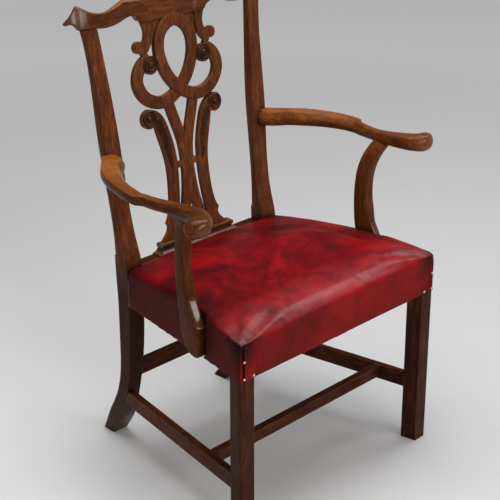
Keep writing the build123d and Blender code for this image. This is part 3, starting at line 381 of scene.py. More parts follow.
def seat_leather_finish():
    finish, tree, shader, spot = new_finish("seat_leather")
    at, facing = split(tree, spot), split_normal(tree)

    # Smoky red, with painted shade that makes the upright faces browner and the sideways faces darker, and grimy where
    # it meets the wood
    smoke = remap(tree, cloud(tree, spot, 6.5, 7.0, 0.62, 1.1), 0.4, 0.66)
    blotch = remap(tree, cloud(tree, spot, 17.0, 6.0, 0.6, 0.8), 0.38, 0.7)
    speck = remap(tree, cloud(tree, spot, 130.0, 4.0, 0.6), 0.5, 0.75)
    colour = blend(tree, blotch, (0.295, 0.0058, 0.0072), (0.140, 0.0048, 0.0062))
    colour = tinted(tree, colour, (0.026, 0.0035, 0.0050), smoke, 0.85)
    colour = tinted(tree, colour, (0.06, 0.008, 0.012), speck, 0.25)
    # Painted shade: upright faces browner, faces turned sideways darker still
    upright = remap(tree, facing["Z"], 0.75, 0.25)
    sideways = remap(tree, reckon(tree, "ABSOLUTE", facing["X"]), 0.5, 0.9)
    colour = tinted(tree, colour, (0.17, 0.020, 0.0150), upright, 0.4)
    colour = tinted(tree, colour, (0.068, 0.0140, 0.0100), upright, sideways, 0.75)
    corners = near_points(tree, spot, both_sides((292, -272, 444)), 12, 58)
    feet = near_points(tree, spot, both_sides((272, -128, 446)), 30, 85)
    rear = near_points(tree, spot, both_sides((215, 132, 448)), 10, 70)
    grime = most(tree, corners, times(tree, most(tree, feet, rear), 0.85))
    ragged = reckon(tree, "MULTIPLY_ADD", blotch, 0.6, 0.55)
    colour = tinted(tree, colour, (0.016, 0.006, 0.008), grime, ragged)

    # Paler pink on top of the front roll, partly fading and partly painted sheen; dark toward the back and along the
    # corner seams
    front_roll = remap(tree, at["Y"], -0.175, -0.262)
    patchy = remap(tree, cloud(tree, spot, 26.0, 5.0, 0.6, 0.8), 0.32, 0.66, 0.3, 0.8)
    on_top = remap(tree, facing["Z"], 0.5, 0.85, 0.0, 0.5)
    # Painted sheen, partly fading: a paler pink on top of the front roll
    colour = tinted(tree, colour, (0.34, 0.048, 0.054), front_roll, patchy, on_top)
    colour = tinted(tree, colour, (0.045, 0.0030, 0.0042), remap(tree, at["Y"], -0.06, 0.12, 0.0, 0.32))
    from_seam = gap_from(tree, reckon(tree, "ABSOLUTE", at["X"]), 0.2885)
    seam = times(tree, remap(tree, from_seam, 0.0032, 0.0012), remap(tree, at["Z"], 0.443, 0.434),
                 remap(tree, at["Y"], -0.262, -0.27))
    colour = tinted(tree, colour, (0.012, 0.004, 0.005), seam, 0.9)

    # Polished where it is sat on
    polish = place(tree, hand_polish, Vector=spot, Scale=22.0, Dull=0.42, Bright=0.28)
    gloss = reckon(tree, "MULTIPLY_ADD", front_roll, patchy, times(tree, polish["Coat"], 0.7))
    sat_on = remap(tree, facing["Z"], 0.5, 0.85)

    # Pores, ripples and fine wrinkles
    cells = add(tree, "TexVoronoi", {"feature": "DISTANCE_TO_EDGE"}, Vector=spot, Scale=620.0)
    pores = times(tree, remap(tree, cells.outputs["Distance"], 0.0, 0.25), 0.35)
    drawn_out = add(tree, "Mapping", Vector=spot, Scale=(3.0, 1.0, 1.0)).outputs["Vector"]
    ripple = cloud(tree, drawn_out, 38.0, 5.0, 0.65, 1.4)
    height = reckon(tree, "MULTIPLY_ADD", ripple, remap(tree, upright, 0.0, 1.0, 2.2, 0.5), pores)
    lines = gap_from(tree, cloud(tree, spot, 21.0, 3.0, 0.55, 1.3), 0.5)
    near_front = remap(tree, at["Y"], -0.13, -0.24, 0.15, 1.0)
    wrinkles = times(tree, remap(tree, lines, 0.0, 0.022, 1.0, 0.0), near_front)
    height = reckon(tree, "MULTIPLY_ADD", wrinkles, -1.1, height)
    wire(tree, shader.inputs, Base_Color=colour, Roughness=polish["Roughness"],
         Coat_Weight=times(tree, gloss, sat_on), Coat_Roughness=0.38, Specular_IOR_Level=0.015,
         Normal=bumped(tree, height, 0.42, 0.0009))
    return finish


seat_leather = seat_leather_finish()


def sides(name):
    return [name + "_left", name + "_right"]


NODE_FINISHES = [
    (sides("front_leg"), leg_mahogany),
    (sides("rear_leg"), stile_mahogany),
    (sides("side_stretcher"), side_mahogany),
    (["medial_stretcher", "rear_stretcher", "rear_seat_rail"], cross_mahogany),
    (["splat_shoe"], shoe_mahogany),
    (["splat"], splat_mahogany),
    (["crest_rail"], crest_mahogany),
    (sides("arm"), arm_mahogany),
    (sides("arm_support"), support_mahogany),
    (["front_seat_rail"] + sides("side_seat_rail"), seat_beech),
    (sides("corner_block_front") + sides("corner_block_rear"), seat_beech),
    (["arm_pegs"], peg_wood),
    (["arm_screws", "support_screws"], screw_steel),
    (["cover_nails"], nail_brass),
]
for names, finish in NODE_FINISHES:
    for name in names:
        for holder in nodes[name].material_slots:
            holder.link = "OBJECT"
            holder.material = finish


# Making of pieces, with sizes in millimetres
def limited(value):
    return min(1.0, max(0.0, value))


def in_mm(vector):
    return [c / MM for c in vector]


def turns(count):
    return [2 * math.pi * i / count for i in range(count)]


def stand(name, data):
    """Object in the scene that shows the given mesh, lamp or camera."""
    made = bpy.data.objects.new(name, data)
    scene.collection.objects.link(made)
    return made


def outward_mesh(name, points, faces):
    """Mesh with all its faces turned outward."""
    mesh = bpy.data.meshes.new(name)
    mesh.from_pydata([[MM * c for c in point] for point in points], [], faces)
    work = bmesh.new()
    work.from_mesh(mesh)
    bmesh.ops.recalc_face_normals(work, faces=work.faces)
    work.to_mesh(mesh)
    work.free()
    return mesh


def smooth_faces(mesh):
    for face in mesh.polygons:
        face.use_smooth = True


def new_piece(name, points, faces, finish, slot):
    """Smooth piece, carried by the chair."""
    mesh = outward_mesh(name, points, faces)
    smooth_faces(mesh)
    piece = stand(name, mesh)
    mesh.materials.append(finish)
    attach(piece, "root")
    return piece


def rows_to_faces(rows, row_length, close_ring=False):
    """Quads between neighbouring rows of points, each row a ring or a strip."""
    faces = []
    for row in range(rows - 1):
        for step in range(row_length if close_ring else row_length - 1):
            after = (step + 1) % row_length
            faces.append([row * row_length + step, row * row_length + after,
                          (row + 1) * row_length + after, (row + 1) * row_length + step])
    return faces


def tube_faces(rows, ring):
    """Faces of a tube of rings, closed at both ends."""
    return rows_to_faces(rows, ring, True) + [[end * ring + i for i in range(ring)] for end in (0, rows - 1)]


def rim_of(rows, columns):
    """Numbers of the points round the edge of a grid."""
    last = (rows - 1) * columns
    rim = list(range(columns)) + [row * columns + columns - 1 for row in range(1, rows)]
    return rim + list(range(last + columns - 2, last - 1, -1)) + [row * columns for row in range(rows - 2, 0, -1)]


def gather(*forms):
    points, faces = [], []
    for made, quads in forms:
        faces += [[len(points) + i for i in face] for face in quads]
        points += made
    return points, faces


def work_on(piece, name, kind, **settings):
    made = piece.modifiers.new(name, kind)
    for key, value in settings.items():
        setattr(made, key, value)
    return made


def settle(piece):
    """Writes what the modifiers make into the piece's own mesh."""
    shown = piece.evaluated_get(bpy.context.evaluated_depsgraph_get())
    mesh = bpy.data.meshes.new_from_object(shown)
    piece.modifiers.clear()
    piece.data = mesh


def cut_away(piece, near_end, far_end):
    """Takes a prism out of a piece, given the outlines of its two ends."""
    faces = tube_faces(2, len(near_end))
    cutter = stand("cutter", outward_mesh("cutter", near_end + far_end, faces[-2:] + faces[:-2]))
    work_on(piece, "cut", "BOOLEAN", operation="DIFFERENCE", solver="EXACT", object=cutter)
    settle(piece)
    bpy.data.objects.remove(cutter)


def swell(piece, is_held, cap, pressure, moments=20):
    """Lets a closed form fill out like stuffed leather, with no point moving further than the cap."""
    held = piece.vertex_groups.new(name="held")
    start = [vertex.co.copy() for vertex in piece.data.vertices]
    held.add([i for i, at in enumerate(start) if is_held(at / MM)], 1.0, "REPLACE")
    cloth = work_on(piece, "swell", "CLOTH")
    for key, value in dict(quality=4, mass=0.4, tension_stiffness=12.0, compression_stiffness=12.0,
                           bending_stiffness=1.5, use_pressure=True, uniform_pressure_force=pressure,
                           vertex_group_mass="held").items():
        setattr(cloth.settings, key, value)
    cloth.settings.effector_weights.gravity = 0.0
    cloth.point_cache.frame_end = moments
    for moment in range(1, moments + 1):
        scene.frame_set(moment)
    settle(piece)
    scene.frame_set(1)
    for vertex, at in zip(piece.data.vertices, start):
        moved = vertex.co - at
        if moved.length > cap * MM:
            vertex.co = at + moved.normalized() * cap * MM
    piece.vertex_groups.clear()


# Leather seat: a stuffed form that swells, tacked down over the rails
def stuffed_form():
    """Closed form with a crowned top, rolled at its edge, on straight sides."""
    across, back = 48, 36
    front, rear = -LEATHER_OUT, SEAT_DEPTH + 5.4
    roll, crown_back, crown_across, start_low = 6.5, 14.0, 8.0, 1.0
    points = []
    for row in range(back + 1):
        depth = front + (rear - front) * row / back
        half = SEAT_FRONT_HALF + LEATHER_OUT - SIDE_SPLAY * depth
        for step in range(across + 1):
            x = half * (2 * step / across - 1)
            back_share = 2 * row / back - 1
            across_share = x / half
            side_gap, end_gap = half - abs(x), min(depth - front, rear - depth)
            into_roll = math.hypot(max(0.0, roll - side_gap), max(0.0, roll - end_gap))
            fall = roll - math.sqrt(max(0.0, roll * roll - min(roll, into_roll) ** 2))
            crown = crown_back * (1 - back_share ** 2) + crown_across * (1 - across_share ** 2)
            points.append((x, SEAT_FRONT_Y + depth, SEAT_EDGE - start_low + crown - fall))
    faces = rows_to_faces(back + 1, across + 1)
    rim, first = rim_of(back + 1, across + 1), len(points)
    points += [(points[i][0], points[i][1], RAIL_BOTTOM - 1.5) for i in rim]
    for i, here in enumerate(rim):
        after = (i + 1) % len(rim)
        faces.append([here, first + i, first + after, rim[after]])
    faces.append(list(range(first, len(points))))
    return points, faces


def settled_rise(x, y):
    """The old chair stands a little higher at its front right, above the rails."""
    return 8.0 * limited((x - 40.0) / 240.0) * limited((130.0 - y) / 300.0)


# Creases pressed into the leather: start, end, width and depth
LEATHER_CREASES = [
    ((-286, -268), (-232, -246), 5.0, 1.3), ((-280, -262), (-238, -214), 5.0, 1.1),
    ((-262, -268), (-196, -252), 5.0, 1.0), ((-228, -266), (-160, -238), 6.0, 1.1),
    ((-190, -268), (-150, -256), 5.0, 0.8), ((-262, -190), (-214, -172), 6.0, 1.2),
    ((-258, -108), (-206, -96), 6.0, 1.2), ((-250, -78), (-190, -40), 7.0, 1.0),
    ((-120, -268), (-60, -250), 6.0, 0.8), ((20, -268), (96, -254), 6.0, 0.9), ((150, -268), (222, -250), 6.0, 1.0),
    ((286, -268), (240, -238), 5.0, 1.3), ((276, -262), (236, -208), 5.0, 1.0),
    ((260, -180), (210, -168), 6.0, 1.2), ((252, -100), (200, -84), 6.0, 1.2), ((-212, 120), (-168, 92), 6.0, 1.2),
    ((212, 120), (168, 92), 6.0, 1.2),
]


def crease_depth(x, y):
    total = 0.0
    for (x0, y0), (x1, y1), width, depth in LEATHER_CREASES:
        run_x, run_y = x1 - x0, y1 - y0
        share = limited(((x - x0) * run_x + (y - y0) * run_y) / (run_x ** 2 + run_y ** 2))
        bend = 4.0 * math.sin(9.0 * share + x0)
        away = math.hypot(x - x0 - run_x * share, y - y0 - run_y * share - bend * share * (1 - share))
        total += 0.4 * depth * math.exp(-((away / width) ** 2)) * (1 - 0.6 * share)
    return total


# Outline of the arm support against the leather, as distance behind the front and level
SUPPORT_NOTCH = [
    (132, 345), (132, 362), (126.5, 366), (123.5, 370), (120.8, 378), (119, 388), (118.2, 402), (117.8, 430),
    (117.8, 510), (192, 510), (191.6, 428), (190, 413), (186, 400), (178.4, 387), (170, 377), (161, 370),
    (153, 366), (146, 362), (146, 345),
]
NOTCH_IN, NOTCH_OUT = 8.4, -30.0
LEG_GAP = [(182.3, 132.1), (300, 132.1), (300, 200), (182.3, 200)]
VOXEL = 0.0045
ROUND_CORNER, TIGHT_CORNER = 11.0, 5.0
LEATHER_THICK = 0.0019


def behind_front(x, y):
    """Distance behind the seat's front and in from its side line."""
    depth = y - SEAT_FRONT_Y
    return depth, SEAT_FRONT_HALF - SIDE_SPLAY * depth - abs(x)


def round_corners(piece, corner):
    """Rounds the two front corners, and lifts the top as the old chair has settled."""
    half = SEAT_FRONT_HALF + LEATHER_OUT - SIDE_SPLAY * corner
    for vertex in piece.data.vertices:
        x, y, z = in_mm(vertex.co)
        over_x, over_y = abs(x) - (half - corner), corner - (y - SEAT_FRONT_Y + LEATHER_OUT)
        if over_x > 0 and over_y > 0:
            pull = min(1.0, corner / math.hypot(over_x, over_y))
            vertex.co.x = math.copysign(half - corner + over_x * pull, x) * MM
            vertex.co.y = (SEAT_FRONT_Y - LEATHER_OUT + corner - over_y * pull) * MM
        if z > RAIL_TOP:
            vertex.co.z += settled_rise(x, y) * MM * min(1.0, (z - RAIL_TOP) / 15.0)


def square_corners(piece, corner):
    """Draws the leather tight round the two front legs, below the top edge."""
    half = SEAT_FRONT_HALF + LEATHER_OUT + 0.3 - SIDE_SPLAY * corner - corner
    front = SEAT_FRONT_Y - LEATHER_OUT - 0.3 + corner
    for vertex in piece.data.vertices:
        x, y, z = in_mm(vertex.co)
        over_x, over_y = abs(x) - half, front - y
        if over_x > 0 and over_y > 0:
            tight = corner / max(1.0, math.hypot(over_x, over_y)) - 1.0
            share = 1.0 + tight * limited((SEAT_EDGE - 4.0 - z) / 14.0)
            vertex.co.x = math.copysign(half + over_x * share, x) * MM
            vertex.co.y = (front - over_y * share) * MM


def held_down(at):
    """True where the leather is tacked to the rails or caught by the wood."""
    depth, inset = behind_front(at.x, at.y)
    by_support = 110 < depth < 199 and inset < 14
    return at.z < SEAT_EDGE - 7 + settled_rise(at.x, at.y) or by_support or depth > SEAT_DEPTH - 6


def uneven(x, y, z):
    return noise.noise(Vector((x, y, z)))


def crease_leather(work):
    """Presses creases and lumps into the top, and pulls the sides about a little."""
    for vertex in work.verts:
        x, y, z = in_mm(vertex.co)
        facing = vertex.normal
        if facing.z > 0.3:
            press = crease_depth(x, y)
            lump = 0.9 * uneven(x * 0.012, y * 0.012, 3.1) + 0.35 * uneven(x * 0.04, y * 0.04, 7.7)
            vertex.co += facing * MM * (lump - press) * min(1.0, (facing.z - 0.3) * 2.5)
        elif z < RAIL_TOP + 10:
            tuck = 0.45 * uneven(x * 0.03, y * 0.03, z * 0.02)
            vertex.co += facing * MM * tuck
            if z < RAIL_BOTTOM + 6:
                vertex.co.z += MM * 0.9 * uneven(x * 0.035, y * 0.035, 1.7)


def open_underneath(work):
    """Takes away the leather under the rails, behind the supports and at the rear legs."""
    gone = []
    for face in work.faces:
        x, y, z = in_mm(face.calc_center_median())
        depth, inset = behind_front(x, y)
        underneath = face.normal.z < -0.6 and z < RAIL_BOTTOM + 8
        behind_foot = 112 < depth < 197 and 1.0 < inset < 14 and z < RAIL_TOP - 2
        at_leg = depth > SEAT_DEPTH - 3 and z < RAIL_TOP - 2
        if underneath or behind_foot or at_leg:
            gone.append(face)
    bmesh.ops.delete(work, geom=gone, context="FACES")


def make_leather_seat():
    piece = new_piece("leather_seat", *stuffed_form(), seat_leather, "seat_leather")
    for side, _ in SIDES:
        cut_away(piece, *([(side * (SEAT_FRONT_HALF - SIDE_SPLAY * depth - inset), SEAT_FRONT_Y + depth, z)
                           for depth, z in SUPPORT_NOTCH] for inset in (NOTCH_IN, NOTCH_OUT)))
        cut_away(piece, *([(side * x, y, z) for x, y in LEG_GAP] for z in (RAIL_BOTTOM - 20, SEAT_EDGE + 60)))
    work_on(piece, "remesh", "REMESH", mode="VOXEL", voxel_size=VOXEL)
    settle(piece)
    work_on(piece, "ease", "SMOOTH", iterations=2, factor=0.4)
    settle(piece)
    round_corners(piece, ROUND_CORNER)
    swell(piece, held_down, cap=4.5, pressure=2.4)
    work_on(piece, "calm", "SMOOTH", iterations=6, factor=0.5)
    settle(piece)
    square_corners(piece, TIGHT_CORNER)
    work = bmesh.new()
    work.from_mesh(piece.data)
    crease_leather(work)
    open_underneath(work)
    work.to_mesh(piece.data)
    work.free()
    smooth_faces(piece.data)
    work_on(piece, "finer", "SUBSURF", levels=1, render_levels=1)
    work_on(piece, "hide_thickness", "SOLIDIFY", thickness=LEATHER_THICK, offset=-1.0)
    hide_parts("seat_cover", "seat_stuffing")


make_leather_seat()

# Overlapped leather at the two front corners, under the nails: distance across and out
LAP_SECTION = [(7.6, -0.9), (8.4, 0.4), (11.0, 0.8), (17.0, 0.9), (20.0, 0.6), (21.0, -0.6), (15.0, -1.2), (9.0, -1.4)]
LAP_ROWS, LAP_HEIGHT = 15, 70.0


def make_corner_lap(side, word):
    points = []
    for i in range(LAP_ROWS):
        z = RAIL_BOTTOM + 1.5 + LAP_HEIGHT * i / (LAP_ROWS - 1)
        drift = 0.8 * math.sin(0.9 * i + side)
        fade = 1.0 if i < 9 else 1.0 - 0.22 * (i - 8)
        for across, out in LAP_SECTION:
            x = side * (SEAT_FRONT_HALF + 2.0 - across - (drift if across > 16 else 0.0))
            points.append((x, SEAT_FRONT_Y - LEATHER_OUT - out * fade, z))
    new_piece("corner_lap_" + word, points, tube_faces(LAP_ROWS, len(LAP_SECTION)), seat_leather, "seat_leather")


for side, word in SIDES:
    make_corner_lap(side, word)


# Smooth lines through given points
def eased(stations, steps):
    """Stations with smooth ones worked in between, number by number."""
    made = []
    for i in range(len(stations) - 1):
        four = [stations[min(len(stations) - 1, max(0, i + k))] for k in (-1, 0, 1, 2)]
        for step in range(steps):
            t = step / steps
            made.append([
                0.5 * (2 * b + (c - a) * t + (2 * a - 5 * b + 4 * c - d) * t * t + (3 * b - a - 3 * c + d) * t ** 3)
                for a, b, c, d in zip(*four)
            ])
    made.append(list(stations[-1]))
    return made


def smooth_run(points, count):
    """Even points along a smooth line through the given ones."""
    fine = eased(points, 24)
    gaps = [0.0]
    for first, second in zip(fine, fine[1:]):
        gaps.append(gaps[-1] + math.dist(first, second))
    even, at = [], 0
    for step in range(count):
        target = gaps[-1] * step / (count - 1)
        while at < len(gaps) - 2 and gaps[at + 1] < target:
            at += 1
        share = (target - gaps[at]) / max(1e-9, gaps[at + 1] - gaps[at])
        even.append([a + (b - a) * share for a, b in zip(fine[at], fine[at + 1])])
    return even


# Carving that stands on the front face of the splat
def on_splat(x, height, out):
    length = math.hypot(1.0, SPLAT_LEAN)
    y = SPLAT_FRONT_Y + SPLAT_LEAN * height - out / length
    return (x, y, SPLAT_BASE + height + out * SPLAT_LEAN / length)


def sideways_of(run, i):
    before, after = run[max(0, i - 1)], run[min(len(run) - 1, i + 1)]
    dx, dz = after[0] - before[0], after[1] - before[1]
    length = math.hypot(dx, dz) or 1.0
    return -dz / length, dx / length


def carved_along(points, count, section):
    """Form along a smooth line; section gives distances across and out for a share of the way."""
    run = smooth_run(points, count)
    made = []
    for i, (x, h) in enumerate(run):
        side_x, side_h = sideways_of(run, i)
        ring = section(i / (count - 1))
        made += [on_splat(x + side_x * wide, h + side_h * wide, out) for wide, out in ring]
    return made, tube_faces(count, len(ring))


STRAP_SECTION = [
    (-1.0, -0.6), (-0.985, 0.35), (-0.9, 0.86), (-0.5, 1.0), (0.0, 1.05), (0.5, 1.0), (0.9, 0.86), (0.985, 0.35),
    (1.0, -0.6),
]


def carved_band(points, count, half_width, rise):
    """Raised strap; half_width and rise follow the share of the way along it."""
    def section(share):
        return [(half_width(share) * across, up * rise(share) if up > 0 else up) for across, up in STRAP_SECTION]
    return carved_along(points, count, section)


def carved_cord(points, count, radius, sink, sides_round=10):
    """Half-sunk rounded ridge."""
    def section(share):
        thick = radius(share)
        return [(thick * math.cos(angle), thick * math.sin(angle) + sink) for angle in turns(sides_round)]
    return carved_along(points, count, section)


def turned_boss(x, h, profile, sides_round=56):
    made = [on_splat(x + radius * math.cos(angle), h + radius * math.sin(angle), out)
            for radius, out in profile for angle in turns(sides_round)]
    return made, tube_faces(len(profile), sides_round)


def swelling(low_start, high_start, high_end, low_end, top):
    def rise(share):
        if share < high_start:
            return top * max(0.05, (share - low_start) / (high_start - low_start))
        if share > high_end:
            return top * max(0.05, (low_end - share) / (low_end - high_end))
        return top
    return rise


INTERLACE = [
    (78, 396), (100, 386), (114.5, 355), (96, 318), (55, 302), (20, 310), (0, 323), (-22, 344), (-40, 376),
    (-47.5, 413), (-36, 450), (0, 470), (36, 450),
]
STRAP_HALF = 13.7
over_strap = carved_band(INTERLACE, 110, lambda share: STRAP_HALF, swelling(0.0, 0.3, 0.62, 1.0, 2.2))
under_strap = carved_band([(-x, h) for x, h in INTERLACE[:6]], 60, lambda share: STRAP_HALF,
                          swelling(0.0, 0.45, 0.9, 1.6, 1.3))
new_piece("over_strap", *over_strap, splat_mahogany, "back_mahogany")
new_piece("under_strap", *under_strap, splat_mahogany, "back_mahogany")

# Radius and height of the turned forms
ROSETTE_PROFILE = [
    (20.0, -0.8), (19.9, 1.6), (19.2, 2.9), (17.6, 3.3), (16.2, 2.7), (15.6, 1.0), (14.8, 0.8), (14.0, 2.2),
    (12.6, 3.5), (11.0, 3.7), (9.8, 3.0), (9.3, 1.5), (8.3, 1.3), (7.6, 2.6), (6.6, 3.9), (4.6, 4.9), (2.2, 5.4),
    (0.4, 5.5),
]
VOLUTE_EYE = [(6.2, -0.6), (6.1, 1.8), (5.4, 3.2), (3.8, 4.1), (1.8, 4.6), (0.3, 4.7)]
VOLUTE_X, VOLUTE_H = 95, 273
# Root, tip and half width of each leaf
LEAVES = [(72, 268, 54, 222, 9.5), (61, 250, 50, 202, 9.0), (54, 228, 46, 180, 8.5), (50, 206, 45, 158, 7.5)]


def volute_form(side):
    spiral = []
    for step in range(37):
        angle = math.radians(205 - 17.5 * step)
        radius = 19.0 - 0.36 * step
        spiral.append((side * (VOLUTE_X + radius * math.cos(angle)), VOLUTE_H + radius * math.sin(angle)))
    outer_ridge = [(side * x, h) for x, h in ((54, 226), (62, 254), (72, 270))] + spiral
    ridge = carved_cord(outer_ridge, 120, lambda share: 2.6 - 1.1 * share, 0.5)
    return gather(ridge, turned_boss(side * VOLUTE_X, VOLUTE_H, VOLUTE_EYE, 32))


def leaf_form(side):
    """Overlapping leaves that run down the outer strap below the volute."""
    forms = []
    for x, h, tip_x, tip_h, wide in LEAVES:
        middle = ((x + tip_x) / 2 + 1.5, (h + tip_h) / 2)
        line = [(side * px, ph) for px, ph in ((x, h), middle, (tip_x, tip_h))]
        shape = lambda share, wide=wide: max(0.4, wide * math.sin(math.pi * min(1.0, 0.25 + 0.75 * share)) ** 0.7)
        forms.append(carved_band(line, 22, shape, lambda share: 0.9 + 1.3 * share * (1.15 - share)))
        forms.append(carved_cord(line, 22, lambda share: 1.25 - 0.5 * share, 1.6))
    return gather(*forms)


for side, word in SIDES:
    new_piece("rosette_" + word, *turned_boss(side * 76, 385, ROSETTE_PROFILE), carved_mahogany, "back_mahogany")
    new_piece("volute_" + word, *volute_form(side), carved_mahogany, "back_mahogany")
    new_piece("leaf_carving_" + word, *leaf_form(side), carved_mahogany, "back_mahogany")


# Arms and their supports, worked to the sections of the frame with softened edges
ARM_TOP = 695.0
ARM_OUTER_FALL = 1.5
ARM_OUTER_EDGE = 20.5
# Distance behind the front, inner and outer edge from the side line, drop, inner thickness
ARM_BACK = [
    (460, 0, 22, 1, 30), (456, -6, 25, 0.4, 34), (450, -12, 29, 0, 36), (438, -15.5, 37, 0, 36),
    (427, -15.5, 46, 0, 35.5), (419, -13.6, 51, 0, 35), (405, -1, 61, 0, 35), (390, 15.5, 70, 0, 35),
    (360, 30, 81, 1, 34), (330, 42, 86, 2, 33), (300, 48, 88, 3, 32), (270, 49, 87, 5, 30), (254, 48, 85, 6.8, 29),
    (248, 47.5, 82.5, 7.2, 28.6),
]
# Distance, centre out from the side line, heading in x and y, width, drop, thickness
FORE_ARM = [
    (239, 58.2, 0, -1, 25, 8.2, 28), (231, 54.6, -0.1, -1, 25, 9.4, 27.5), (213, 47.4, -0.1, -1, 26, 11, 26),
    (190, 38.4, -0.1, -1, 28, 12, 24.5), (165, 31, 0, -1, 29, 11.5, 25), (140, 26.6, 0, -1, 32, 10, 28),
    (112, 24.3, 0.1, -1, 36, 8, 32), (87, 28.6, 0.45, -0.9, 40, 6, 36), (72, 42, 0.95, -0.3, 42, 5, 39),
    (75, 58, 0.8, 0.6, 36, 6, 36), (84, 66.5, 0.5, 0.86, 22, 10, 28), (89, 69, 0.4, 0.9, 8, 17, 12),
]
RING = 16


def side_line(distance, out):
    return (SEAT_FRONT_HALF - SIDE_SPLAY * distance + out, SEAT_FRONT_Y + distance)


def faceted_ring(distance, inner, outer, drop, thick):
    """Section of the arm's broad back part, with a bevel along its inner edge."""
    wide = outer - inner
    low = min(ARM_OUTER_FALL + ARM_OUTER_EDGE, 0.86 * thick)
    bevel = min(13.0, 0.36 * wide)
    section = [
        (inner + 0.55 * wide, -0.4 * ARM_OUTER_FALL), (inner + bevel + 3, -0.3), (inner + bevel, -0.9),
        (inner + bevel - 1.6, -2.0), (inner + 2.2, -0.40 * thick), (inner + 0.6, -0.48 * thick), (inner, -0.6 * thick),
        (inner + 1.0, -0.82 * thick), (inner + 5.0, -0.98 * thick), (inner + 0.4 * wide, -0.6 * thick - 0.4 * low),
        (outer - 0.16 * wide, -low - 0.6), (outer - 2.0, -low + 2.0), (outer, -low + 7.0),
        (outer - 0.3, -ARM_OUTER_FALL - 4.0), (outer - 2.0, -ARM_OUTER_FALL - 0.5),
        (outer - 6.0, -ARM_OUTER_FALL + 0.6),
    ]
    x, y = side_line(distance, 0.0)
    return [(x + across, y, ARM_TOP - drop + up) for across, up in section]


def rounded_ring(distance, out, toward_x, toward_y, width, drop, thick):
    """Section of the scrolled end, square at its upper edge and round below."""
    x, y = side_line(distance, out)
    length = math.hypot(toward_x, toward_y)
    across_x, across_y = -toward_y / length, toward_x / length
    made = []
    for i in range(RING):
        angle = math.pi / 2 + 2 * math.pi * i / RING
        square = 0.42 + 0.4 * limited((104.0 - distance) / 30.0) if math.sin(angle) > 0.01 else 0.78
        wide = math.copysign(abs(math.cos(angle)) ** square, math.cos(angle)) * width / 2
        up = math.copysign(abs(math.sin(angle)) ** square, math.sin(angle)) * thick / 2
        made.append((x + across_x * wide, y + across_y * wide, ARM_TOP - drop - thick / 2 + up))
    return made


def fore_arm_ring(distance, out, toward_x, toward_y, width, drop, thick):
    rounded = rounded_ring(distance, out, toward_x, toward_y, width, drop, thick)
    share = limited((235.0 - distance) / 95.0)
    if share == 1.0:
        return rounded
    faceted = faceted_ring(distance, out - width / 2, out + width / 2, drop, thick)
    return [[p + (q - p) * share for p, q in zip(first, second)] for first, second in zip(faceted, rounded)]


def sweep(name, rings, side, finish, slot):
    points = [(side * x, y, z + settled_rise(side * x, y) * limited((z - RAIL_TOP) / 40.0))
              for ring in rings for x, y, z in ring]
    piece = new_piece(name, points, tube_faces(len(rings), len(rings[0])), finish, slot)
    work_on(piece, "soften", "SUBSURF", levels=1, render_levels=1)
    return piece


# Level, front edge, back edge, inner face and outer face of a support, along and out from the side line
SUPPORT = [
    (365.2, 133, 146, -6, 13), (366.5, 129, 152, -7.5, 15), (370, 125.5, 160, -8, 16), (377, 122.5, 169, -8, 16),
    (387, 121, 177.5, -8, 16), (400, 120.2, 185.3, -8, 16), (413, 119.6, 189, -8, 16), (424, 119.2, 190.2, -8, 16),
    (429, 119, 190.6, -8, 16), (431, 119.4, 190.8, -8, 16), (432.2, 121.5, 191, -8, 16),
    (436, 125.4, 191.3, -8, 16), (443, 130.5, 192, -7.8, 16.2), (453, 136.8, 193.5, -7.6, 16.6),
    (468, 145.2, 195.8, -7.5, 17), (480, 151, 197.4, -7.5, 17.2), (495, 156.5, 198.8, -7.5, 17.5),
    (525, 164, 200, -7.5, 18.5), (561, 166.5, 199.5, -7.5, 19.5), (600, 162, 195, -6.5, 20.5),
    (629, 152.5, 187.5, -2, 24.5), (646, 145, 181.5, 5, 31), (657, 139.5, 177, 12, 37), (664, 136, 174, 17, 40),
    (668, 134, 172, 18.5, 40),
]


def support_ring(level, front, back, inner, outer):
    """Rounded section; round the scoop above the rail its front face turns outward."""
    corner = min(6.5, 0.42 * (back - front), 0.42 * (outer - inner))
    turn = 6.5 * limited(2.0 - abs(level - 455.0) / 24.0)
    made = []
    for along, out, start in ((back - corner, outer - corner, 0), (front + corner, outer - corner, 90),
                              (front + corner, inner + corner, 180), (back - corner, inner + corner, 270)):
        for step in range(4):
            angle = math.radians(start + 30 * step)
            over = out + corner * math.sin(angle)
            turned = turn * (over - inner) / (outer - inner) if start in (90, 180) else 0.0
            made.append((*side_line(along + corner * math.cos(angle) + turned, over), level))
    return made


for side, word in SIDES:
    arm_rings = [faceted_ring(*station) for station in eased(ARM_BACK, 4)]
    arm_rings += [fore_arm_ring(*station) for station in eased(FORE_ARM, 4)]
    arm = sweep("carved_arm_" + word, arm_rings, side, arm_mahogany, "arm_mahogany")
    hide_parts("arm_" + word)
    support_rings = [support_ring(*station) for station in eased(SUPPORT, 2)]
    post = sweep("curved_support_" + word, support_rings, side, support_mahogany, "frame_mahogany")
    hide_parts("arm_support_" + word)


